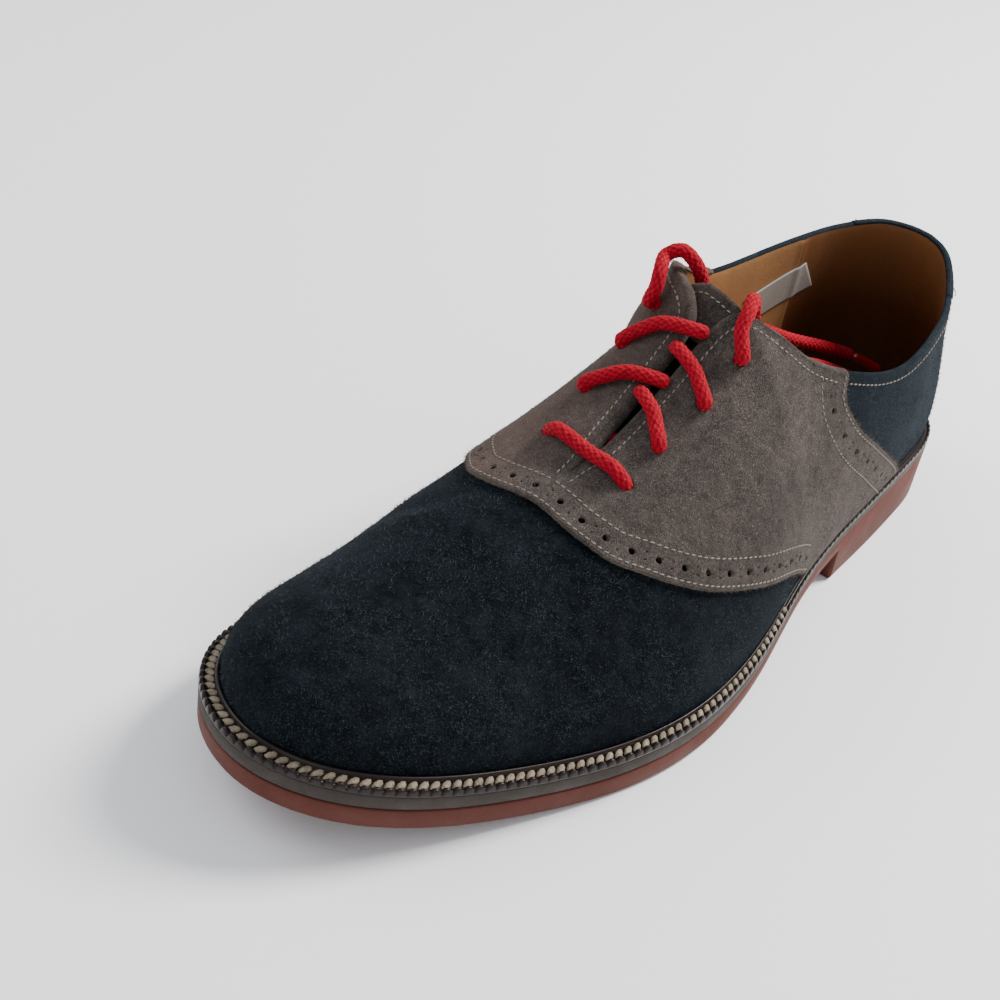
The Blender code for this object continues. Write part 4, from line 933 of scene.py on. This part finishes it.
def makeInsole():
    shares = shareSteps(insole["columns"])
    across = np.linspace(-1.0, 1.0, insole["rows"] + 1)
    flat = acrossSole(shares, 1.0, last["wall"] + insole["gap"], (across + 1) / 2)
    dish = insole["dish"] * np.abs(across)**3 - insole["sink"] + insole["ripple"] * np.cos(across * 9)
    fade = np.clip(np.sin(shares * math.pi) * 4, 0, 1)
    top = placed(flat, seatAt(shares)[:, None] + insole["thickness"] + dish[None, :] * fade[:, None])
    low = top.copy()
    low[..., 2] = seatAt(shares)[:, None] + insole["under"]
    build = bmesh.new()
    for grid in (top, low, np.stack([top[:, 0], low[:, 0]], 1), np.stack([top[:, -1], low[:, -1]], 1)):
        addGrid(build, grid)
    return finishMesh("insoleSock", build, [finishes["insole"]])


label = {  # corners of the blank label on the inner side as (station, height), from below at the front
    "corners": ((0.815, 0.560), (0.883, 0.650), (0.782, 0.725), (0.865, 0.830)), "thickness": 0.0004,
    "gap": 0.00015,
}


def makeLabel():
    u = np.linspace(0, 1, 30)[:, None, None]
    v = np.linspace(0, 1, 16)[None, :, None]
    lowFront, lowBack, highFront, highBack = (np.array(corner) for corner in label["corners"])
    place = (lowFront * (1 - u) + lowBack * u) * (1 - v) + (highFront * (1 - u) + highBack * u) * v
    station, height = place[..., 0], place[..., 1]
    build = bmesh.new()
    addGrid(build, innerPoint(-1, station, height) - upperNormal(-1, station, height) * label["gap"])
    piece = finishMesh("liningLabel", build, [finishes["label"]])
    if piece.data.polygons[0].normal.x < 0:
        piece.data.flip_normals()
    thicken(piece, label["thickness"], 1.0)
    return piece


tonguePiece, tonguePoints = makeTongue()
insolePiece = makeInsole()
labelPiece = makeLabel()

print("saddle shoe: welt and sole")

welt = {  # lengths in metres; the rope runs from the toe back to the share ropeEnd
    "pitch": 0.0031, "notch": 0.0013, "toothWidth": 0.20, "ropePitch": 0.0031, "scallop": 0.0008,
    "ropeEnd": 0.43, "ropeFade": 0.03, "step": 0.00034, "ropeAt": 0.53, "ropeHeight": 0.0009,
    "ropeLean": 0.35,
}
weltRows = (  # share of the width from the upper's foot, height over the midsole, notch share, scallop share
    (0.04, -0.0002, 0, 0), (0.06, 0.0010, 0, 0), (0.11, 0.0021, 0, 0), (0.18, 0.0026, 0, 0),
    (0.25, 0.0026, 0, 0), (0.31, 0.0021, 0, 0), (0.36, 0.0012, 0, 0), (0.42, 0.0006, 0, 0),
    (0.52, 0.0005, 0, 0), (0.62, 0.0006, 0, 0.2), (0.67, 0.0011, 0, 1.0), (0.73, 0.0017, 0.1, 0.9),
    (0.79, 0.0019, 0.5, 0.3), (0.85, 0.0021, 1.0, 0), (0.91, 0.0021, 1.0, 0), (0.96, 0.0018, 1.0, 0),
    (0.99, 0.0010, 0.6, 0), (1.0, 0.0003, 0.1, 0), (1.0, -0.0002, 0, 0),
)
weltHeights = ((0.0, 0.60), (0.32, 0.60), (0.50, 0.85), (0.62, 1.0), (1.0, 1.0))


def weltRing(step):  # side, distance and share round the whole edge
    rings = []
    for side in (1, -1):
        half, along = halves[side]
        distance = np.linspace(0, along[-1], int(along[-1] / step))[::side][:-1]
        rings.append((side, distance, np.interp(distance, along, half[:, 1]) / last["length"]))
    return rings


def makeWelt():
    rows = []
    for across, high, notch, scallop in weltRows:
        ring = []
        for side, distance, share in weltRing(welt["step"]):
            wave = (distance / welt["pitch"] % 1 - 0.5) / welt["toothWidth"]
            tooth = np.exp(-wave**2) * welt["notch"] * notch
            front = np.clip((share - welt["ropeEnd"]) / welt["ropeFade"], 0, 1)
            bite = np.abs(np.sin(math.pi * distance / welt["ropePitch"]))**2 * welt["scallop"]
            level = high * easeRows(weltHeights, share) - tooth * (0.5 + 0.5 * front) - bite * scallop * front
            ring.append(placed(edgeAt(side, distance, 1.0 - across)[0], seatAt(share) + level))
        rows.append(np.concatenate(ring))
    grid = np.stack(rows, 1)
    grid = np.concatenate([grid, grid[:1]], 0)
    build = bmesh.new()
    addGrid(build, np.concatenate([grid, grid[:, :1]], 1))
    return finishMesh("weltStrip", build, [finishes["welt"]])


def shareRing(shares, inset, level):
    return np.concatenate([placed(edgeAt(side, alongAt(side, shares), 0.0, inset)[0], level)[::side][:-1]
                           for side in (1, -1)])


def makeLayer(name, finish, levels, across=1):  # levels from below: inset, height function and shift
    breast = last["breastShare"]
    shares = shareSteps(300)
    away = np.abs(shares - breast) > 0.002
    shares = np.sort(np.concatenate([shares[away], [breast - 0.0006, breast + 0.0006]]))
    rings = np.stack([shareRing(shares, inset, height(shares) + shift) for inset, height, shift in levels], 1)
    build = bmesh.new()
    addGrid(build, np.concatenate([rings, rings[:1]], 0))
    for inset, height, shift in (levels[0], levels[-1]):
        flat = acrossSole(shares, 0.0, inset, np.linspace(0.0, 1.0, across + 1))
        addGrid(build, placed(flat, np.broadcast_to((height(shares) + shift)[:, None], flat.shape[:2])))
    return finishMesh(name, build, [finishes[finish]])


def midsoleBottom(share):
    return seatAt(share) - easeRows(midsoleRows, share)


def outsoleBottom(share):
    return np.where(np.asarray(share) < last["breastShare"], 0.0, underAt(share))


def outsoleMiddle(share):
    return (outsoleBottom(share) + midsoleBottom(share)) / 2


def midsoleMiddle(share):
    return (midsoleBottom(share) + seatAt(share)) / 2


weltPiece = makeWelt()
outsolePiece = makeLayer("rubberOutsole", "rubber", (
    (0.0011, outsoleBottom, 0.0), (0.0004, outsoleBottom, 0.0003), (0.0, outsoleBottom, 0.0011),
    (0.0, outsoleMiddle, 0.0), (0.0, midsoleBottom, -0.0007), (0.0004, midsoleBottom, -0.0003)), 14)
midsolePiece = makeLayer("midsoleEdge", "midsole", (
    (0.0004, midsoleBottom, 0.0), (0.0, midsoleBottom, 0.0004), (0.0, midsoleMiddle, 0.0),
    (0.0, seatAt, -0.0006), (0.0003, seatAt, -0.0003)))

print("saddle shoe: holes and stitches")


def geometryTree(name, inputs):
    shape = ("Geometry", "Geometry")
    return makeTree(name, "GeometryNodeTree", (shape, *inputs, ("Finish", "Material")), (shape,))


def closeTree(tree, source, result, points, instance, turn, scale):  # copies, realised and given a finish
    copies = addNode(tree, "GeometryNodeInstanceOnPoints",
                     {"Points": points, "Instance": instance, "Rotation": turn, "Scale": scale})
    real = addNode(tree, "GeometryNodeRealizeInstances", {0: copies.outputs[0]})
    finish = addNode(tree, "GeometryNodeSetMaterial",
                     {"Geometry": real.outputs[0], "Material": source.outputs["Finish"]})
    feed(tree, result, {0: finish.outputs[0]})
    return tree


def vectorOf(tree, *parts):
    return addNode(tree, "ShaderNodeCombineXYZ", dict(enumerate(parts))).outputs[0]


def lieNode(tree):  # the direction out of the leather, kept on each point
    return addNode(tree, "GeometryNodeInputNamedAttribute", data_type="FLOAT_VECTOR", Name="lie").outputs[0]


def evenCurve(tree, source):  # the rows as curves, with a point at each pitch
    curve = addNode(tree, "GeometryNodeMeshToCurve", {0: source.outputs["Geometry"]})
    return addNode(tree, "GeometryNodeResampleCurve", {"Curve": curve.outputs[0],
                   "Length": source.outputs["Pitch"]}, mode="LENGTH").outputs[0]


def meshPoints(tree, source):
    return addNode(tree, "GeometryNodeMeshToPoints", {"Mesh": source.outputs["Geometry"]}).outputs[0]


def alongVector(tree, vector):
    return addNode(tree, "FunctionNodeAlignRotationToVector", {"Vector": vector}, axis="Z").outputs[0]


def stitchTree():  # domed stitches along a row, turned with the row and the leather
    tree, source, result = geometryTree("stitchRow", (
        ("Pitch", "Float", 0.0026), ("Length", "Float", 0.0020), ("Thickness", "Float", 0.0005),
        ("Height", "Float", 0.0004), ("Slant", "Float", 0.12), ("Waver", "Float", 0.08), ("Seed", "Int", 4)))
    given = source.outputs
    points = evenCurve(tree, source)
    ahead = tree.nodes.new("GeometryNodeInputTangent").outputs[0]
    align = addNode(tree, "FunctionNodeAxesToRotation", {0: lieNode(tree), 1: ahead}, primary_axis="Z",
                    secondary_axis="X")
    chance = addNode(tree, "FunctionNodeRandomValue", {"Seed": given["Seed"]}, data_type="FLOAT")
    centred = addNode(tree, "ShaderNodeMath", {0: chance.outputs[1], 1: 0.5}, operation="SUBTRACT").outputs[0]
    angle = plus(tree, given["Slant"], times(tree, times(tree, centred, 2.0), given["Waver"]))
    turned = addNode(tree, "FunctionNodeEulerToRotation", {0: vectorOf(tree, 0.0, 0.0, angle)})
    spin = addNode(tree, "FunctionNodeRotateRotation", {0: align.outputs[0], 1: turned.outputs[0]},
                   rotation_space="LOCAL")
    bead = addNode(tree, "GeometryNodeMeshUVSphere", Segments=8, Rings=6, Radius=0.5)
    size = vectorOf(tree, given["Length"], given["Thickness"], given["Height"])
    return closeTree(tree, source, result, points, bead.outputs[0], spin.outputs[0], size)


def punchTree():  # round punches that stand across the leather
    tree, source, result = geometryTree("punches", (
        ("Radius", "Float", 0.001), ("Depth", "Float", 0.006), ("Sides", "Int", 14)))
    given = source.outputs
    rod = addNode(tree, "GeometryNodeMeshCylinder",
                  {"Vertices": given["Sides"], "Radius": given["Radius"], "Depth": given["Depth"]})
    return closeTree(tree, source, result, meshPoints(tree, source), rod.outputs[0],
                     alongVector(tree, lieNode(tree)), vectorOf(tree, 1.0, 1.0, 1.0))


def fibreTree(name, scattered):  # short loose fibres along a raw cut edge or on each point
    tree, source, result = geometryTree(name, (
        ("Pitch", "Float", 0.0003), ("Length", "Float", 0.0012), ("Thickness", "Float", 0.00009),
        ("Seed", "Int", 7)))
    given = source.outputs
    points = meshPoints(tree, source) if scattered else evenCurve(tree, source)
    chance = addNode(tree, "FunctionNodeRandomValue", {"Seed": given["Seed"]}, data_type="FLOAT_VECTOR")
    chance.inputs[0].default_value = (-0.9, -0.9, -0.9)
    chance.inputs[1].default_value = (0.9, 0.9, 0.9)
    way = addNode(tree, "ShaderNodeVectorMath", {0: lieNode(tree), 1: chance.outputs[0]}, operation="ADD")
    long = addNode(tree, "FunctionNodeRandomValue", {2: 0.25}, data_type="FLOAT")
    hair = addNode(tree, "GeometryNodeMeshCone", {"Radius Top": 0.0, "Radius Bottom": 0.5, "Depth": 1.0},
                   Vertices=3, fill_type="NONE")
    size = vectorOf(tree, given["Thickness"], given["Thickness"],
                    times(tree, given["Length"], long.outputs[1]))
    return closeTree(tree, source, result, points, hair.outputs[0], alongVector(tree, way.outputs[0]), size)


trees = {"stitch": stitchTree(), "punch": punchTree(), "fibre": fibreTree("edgeFibres", False),
         "nap": fibreTree("suedeFibres", True)}


def runTree(name, kind, rows, values, joined=True):  # rows: (points, directions out of the leather)
    points, lies = (np.concatenate([row[part] for row in rows]) for part in (0, 1))
    edges, start = [], 0
    for row in rows:
        if joined:
            edges += [(start + k, start + k + 1) for k in range(len(row[0]) - 1)]
        start += len(row[0])
    mesh = bpy.data.meshes.new(name + "Rows")
    mesh.from_pydata(points.tolist(), edges, [])
    lie = mesh.attributes.new("lie", "FLOAT_VECTOR", "POINT")
    lie.data.foreach_set("vector", np.asarray(lies, float).ravel())
    carrier = addObject(name + "Rows", mesh)
    modifier = carrier.modifiers.new(kind, "NODES")
    modifier.node_group = trees[kind]
    for item in trees[kind].interface.items_tree:
        if item.in_out == "INPUT" and item.name in values:
            modifier[item.identifier] = values[item.name]
    depsgraph = bpy.context.evaluated_depsgraph_get()
    made = bpy.data.meshes.new_from_object(carrier.evaluated_get(depsgraph))
    bpy.data.objects.remove(carrier, do_unlink=True)
    made.name = name
    made.shade_smooth()
    return addObject(name, made)


def rowOffset(side, station, height, distance, toward):  # walk a row of the upper sideways along the leather
    station, height = station.copy(), height.copy()
    stride, small = 0.0008, 0.001
    steps = max(1, int(abs(distance) / stride))
    for _ in range(steps):
        here = upperPoint(side, station, height)
        along = np.gradient(here, axis=0)
        along /= np.linalg.norm(along, axis=1)[:, None]
        normal = upperNormal(side, station, height)
        across = np.cross(normal, along)

        byStation = (upperPoint(side, station + small, height) - here) / small
        byHeight = (here - upperPoint(side, station, height - small)) / small
        sign = np.sign(np.sum(across * byStation, 1) * toward[0] + np.sum(across * byHeight, 1) * toward[1])
        move = across * (sign * distance / steps)[:, None]
        aa, bb = np.sum(byStation**2, 1), np.sum(byHeight**2, 1)
        ab = np.sum(byStation * byHeight, 1)
        ma, mb = np.sum(move * byStation, 1), np.sum(move * byHeight, 1)
        span = aa * bb - ab**2
        station = station + (ma * bb - mb * ab) / span
        height = np.clip(height + (mb * aa - ma * ab) / span, 0.0, 1.0)
    return station, height


def surfaceRow(side, station, height, lift):
    return overUpper(side, station, height, lift), upperNormal(side, station, height)


overSaddle = saddle["gap"] + saddle["thickness"]
seams = {  # distances from the edges and lifts in metres; starts and top are heights on the upper
    "edge": 0.0014, "inner": {"front": 0.0090, "rear": 0.0112}, "throat": 0.0024, "topline": 0.0028,
    "strap": 0.0016, "lift": 0.00006, "strapLift": 0.0004, "starts": {"front": 0.09, "rear": 0.10},
    "innerStart": 0.03, "top": 0.985,
}
holes = {  # bands: distance from the edge, lowest and highest place, spacing and phase
    "bands": {"front": (0.0049, 0.10, 1.0, 0.0079, 0.5), "rear": (0.0064, 0.12, 0.985, 0.0105, 0.8)},
    "apart": 0.0011,
    "large": {"Radius": 0.00105, "Depth": 0.0052}, "small": {"Radius": 0.00030, "Depth": 0.0052, "Sides": 8},
    "eye": {"Radius": 0.0022, "Depth": 0.0140, "Sides": 20},
}


def edgeRow(side, name, distance, low, high, count=160):
    heights = np.linspace(low, high, count)
    return rowOffset(side, easeRows(saddleRows[name], heights), heights, distance,
                     (1.0 if name == "front" else -1.0, 0.0))


def toplineRow(side, start, end, distance, count=160):
    stations = np.linspace(start, end, count)
    return rowOffset(side, stations, np.full(count, 0.999), distance, (0.0, -1.0))


def alongRow(side, station, height, spacing, phase):  # even steps along a row, as places on the leather
    along = pathLength(upperPoint(side, station, height))
    at = np.arange(spacing * phase, along[-1], spacing)
    return np.interp(at, along, station), np.interp(at, along, height)


def makeHoles():
    rows = {"large": [], "small": [], "eye": []}
    for side in (1, -1):
        for name, (distance, low, high, spacing, phase) in holes["bands"].items():
            edge = edgeRow(side, name, distance, low, high)
            rows["large"].append(surfaceRow(side, *alongRow(side, *edge, spacing, phase), 0.0))
            between = alongRow(side, *edge, spacing, phase + 0.5)
            for way in (-1.0, 1.0):
                near = rowOffset(side, *between, holes["apart"], (way, 0.0))
                rows["small"].append(surfaceRow(side, *near, 0.0))
        for pair in eyelets:
            station, height = eyeletPlace(side, pair)
            rows["eye"].append(surfaceRow(side, np.array([station]), np.array([height]), 0.0))
    finish = {"Finish": finishes["cutEdge"]}
    return [runTree(size + "Punches", "punch", rows[size], {**holes[size], **finish}, False) for size in rows]


def punch(piece, cutters):
    for cutter in cutters:
        modifier = piece.modifiers.new("punch", "BOOLEAN")
        modifier.operation, modifier.solver, modifier.object = "DIFFERENCE", "EXACT", cutter
    depsgraph = bpy.context.evaluated_depsgraph_get()
    made = bpy.data.meshes.new_from_object(piece.evaluated_get(depsgraph))
    piece.modifiers.clear()
    piece.data = made
    made.shade_smooth()


punches = makeHoles()
punch(saddlePiece, punches)
for cutter in punches:
    bpy.data.objects.remove(cutter, do_unlink=True)


def makeStitches():
    raised = overSaddle + seams["lift"]
    rows = []
    for side in (1, -1):
        for name, start in seams["starts"].items():
            for distance, extra in ((seams["edge"], 0.0), (seams["inner"][name], seams["innerStart"])):
                top = 1.0 if name == "front" and not extra else seams["top"]
                rows.append(surfaceRow(side, *edgeRow(side, name, distance, start + extra, top), raised))
        for start, end, distance, lift in ((0.418, 0.608, seams["throat"], raised),
                                           (0.608, 0.706, seams["topline"], raised),
                                           (0.728, 0.915, seams["topline"], seams["lift"])):
            rows.append(surfaceRow(side, *toplineRow(side, start, end, distance), lift))
        heights = np.linspace(0.07, seams["top"], 120)
        edge = rowOffset(side, 1.0 - easeRows(strapRows, heights), heights, seams["strap"], (1.0, 0.0))
        rows.append(surfaceRow(side, *edge, strap["gap"] + strap["thickness"] + seams["lift"]))
        heel = toplineRow(side, 0.925, 0.995, seams["topline"], 50)
        rows.append(surfaceRow(side, *heel, seams["strapLift"]))
    down = tonguePoints[-1] - tonguePoints[-3]
    top = tonguePoints[-1] - down * 1.1
    lie = np.cross(down, np.gradient(top, axis=0))
    lie *= np.sign(lie[:, 2:3])
    lie /= np.linalg.norm(lie, axis=1)[:, None]
    rows.append(((top + lie * 0.0001)[3:-3], lie[3:-3]))
    piece = runTree("seamStitches", "stitch", rows, {
        "Pitch": 0.0021, "Length": 0.0016, "Thickness": 0.00052, "Height": 0.00036, "Slant": 0.14,
        "Waver": 0.10, "Finish": finishes["thread"]})
    settle(piece, "lace_cord")


def makeWeltStitches():
    rows = []
    for side, distance, share in weltRing(0.001):
        keep = share > welt["ropeEnd"]
        place, outward = edgeAt(side, distance[keep], 1.0 - welt["ropeAt"], 0.0)
        level = seatAt(share[keep]) + welt["ropeHeight"] * easeRows(weltHeights, share[keep])
        lie = np.stack([outward[:, 0] * welt["ropeLean"], -outward[:, 1] * welt["ropeLean"],
                        np.ones(len(place))], -1)
        rows.append((placed(place, level), lie / np.linalg.norm(lie, axis=1)[:, None]))
    rows = [tuple(np.concatenate([rows[1][part], rows[0][part]]) for part in (0, 1))]
    piece = runTree("weltStitches", "stitch", rows, {
        "Pitch": welt["ropePitch"], "Length": 0.0040, "Thickness": 0.0022, "Height": 0.0013, "Slant": 0.75,
        "Waver": 0.06, "Finish": finishes["weltThread"]})
    settle(piece, "lace_cord")


fuzz = {"foot": 0.06, "lifts": (0.4, 0.9), "topline": (0.43, 0.715), "points": 300, "up": 0.5, "out": 0.2}


def makeFibres():
    rows = []
    for side in (1, -1):
        heights = np.linspace(fuzz["foot"], 1.0, fuzz["points"])
        for name in ("front", "rear"):
            station = easeRows(saddleRows[name], heights)
            for lift in fuzz["lifts"]:
                rows.append(surfaceRow(side, station, heights, overSaddle * lift))
        stations = np.linspace(*fuzz["topline"], fuzz["points"])
        rows.append(surfaceRow(side, stations, np.full(fuzz["points"], 0.999), overSaddle))
    for k, (points, lies) in enumerate(rows):
        out = np.cross(np.gradient(points, axis=0), lies)
        rows[k] = (points, lies * fuzz["up"] + out / np.linalg.norm(out, axis=1)[:, None] * fuzz["out"])
    piece = runTree("edgeFibres", "fibre", rows, {
        "Pitch": 0.00030, "Length": 0.0021, "Thickness": 0.00013, "Finish": finishes["cutEdge"]})
    settle(piece, "taupe_suede")


nap = {"front": 15000, "rear": 5000, "saddle": 15000, "clump": 260.0, "margin": 0.004, "up": 0.35}


def napRows(count, keep, lift, seed):  # places spread evenly over the leather, thinned out in patches
    chance = np.random.default_rng(seed)
    rows = []
    for side in (1, -1):
        station, height = chance.random(count * 6), chance.random(count * 6)
        step = 0.002
        here = upperPoint(side, station, height)
        ahead = upperPoint(side, np.clip(station + step, 0, 1), height) - here
        above = upperPoint(side, station, np.clip(height + step, 0, 1)) - here
        area = np.linalg.norm(np.cross(ahead, above), axis=1)
        x, y, z = here.T * nap["clump"]
        patch = (np.sin(x + 1.7 * np.sin(y * 0.7)) + np.sin(y * 0.83 + 1.9 * np.sin(z * 0.6 + x * 0.5))
                 + np.sin(z))
        share = area / np.quantile(area, 0.98) * np.clip(0.45 + 0.3 * patch, 0.10, 1.0)
        good = np.nonzero(keep(station, height) & (chance.random(len(share)) < share))[0][:count // 2]
        points, lies = surfaceRow(side, station[good], height[good], lift)
        rows.append((points, lies * nap["up"]))
    return rows


def beyond(station, height, name, margin):  # how far a place lies behind an edge of the saddle
    return station > easeRows(saddleRows[name], height) + margin


def makeNap():
    margin = nap["margin"]
    front = napRows(nap["front"], lambda s, h: s < easeRows(saddleRows["front"], h) - margin, 0.0, 3)
    rear = napRows(nap["rear"], lambda s, h: beyond(s, h, "rear", margin), 0.0, 4)
    middle = napRows(nap["saddle"], lambda s, h: beyond(s, h, "front", margin)
                     & (s < easeRows(saddleRows["rear"], h) - margin) & (h > 0.05), overSaddle, 5)
    settle(runTree("navyNap", "nap", front + rear, {
        "Length": 0.0014, "Thickness": 0.00021, "Finish": finishes["navyFibre"]}, False), "navy_suede")
    settle(runTree("taupeNap", "nap", middle, {
        "Length": 0.0009, "Thickness": 0.00017, "Finish": finishes["taupeFibre"]}, False), "taupe_suede")


makeStitches()
makeWeltStitches()
makeFibres()
makeNap()

for piece, slot, node in (
        (upperPiece, "navy_suede", "upper"), (saddlePiece, "taupe_suede", "saddle"),
        (strapPiece, "navy_suede", "back_strap"), (tonguePiece, "taupe_suede", "tongue"),
        (insolePiece, "insole_leather", "insole"), (weltPiece, "welt_leather", "welt"),
        (outsolePiece, "sole_rubber", "outsole"), (midsolePiece, "midsole_edge", "midsole")):
    settle(piece, slot, node)
settle(labelPiece, "insole_leather")

print("saddle shoe: floor and light")

studio = {"floorSize": 40.0, "floorDrop": 0.0002, "floorRoughness": 0.6, "lightsAim": (0.0, -0.12, 0.04),
          "floorColour": (0.93, 0.93, 0.93, 1.0), "worldColour": (0.90, 0.93, 1.0, 1.0),
          "worldStrength": (0.42, 0.85), "worldTop": 0.9}
lights = (  # name, place, size, power in watts, colour
    ("key", (0.32, 0.78, 0.98), 0.5, 36.0, (1.0, 0.97, 0.94)),
    ("fill", (-0.75, -0.55, 0.80), 0.8, 5.0, (0.93, 0.96, 1.0)),
    ("front", (0.55, -0.95, 0.55), 0.7, 1.5, (1.0, 1.0, 1.0)),
)


def addStudio():
    build = bmesh.new()
    bmesh.ops.create_grid(build, x_segments=1, y_segments=1, size=studio["floorSize"] / 2,
                          matrix=Matrix.Translation((0, 0, -studio["floorDrop"])))
    mesh = bpy.data.meshes.new("paleFloor")
    build.to_mesh(mesh)
    build.free()
    material = bpy.data.materials.new("paleFloor")
    material.use_nodes = True
    shader = material.node_tree.nodes["Principled BSDF"]
    shader.inputs["Base Color"].default_value = studio["floorColour"]
    shader.inputs["Roughness"].default_value = studio["floorRoughness"]
    mesh.materials.append(material)
    addObject("paleFloor", mesh)
    world = bpy.data.worlds.new("studio")
    world.use_nodes = True
    tree = world.node_tree
    background = tree.nodes["Background"]
    background.inputs["Color"].default_value = studio["worldColour"]
    up = partsNode(tree, addNode(tree, "ShaderNodeTexCoord").outputs["Generated"])[2]
    strength = rangeNode(tree, up, 0.0, studio["worldTop"], *studio["worldStrength"])
    feed(tree, background, {"Strength": strength})
    scene.world = world
    for name, place, size, power, colour in lights:
        data = bpy.data.lights.new(name, "AREA")
        data.shape, data.size, data.energy, data.color = "DISK", size, power, colour
        light = addObject(name, data)
        away = Vector(studio["lightsAim"]) - Vector(place)
        light.matrix_world = away.to_track_quat("-Z", "Y").to_matrix().to_4x4()
        light.matrix_world.translation = Vector(place)


addStudio()
print("saddle shoe: done")
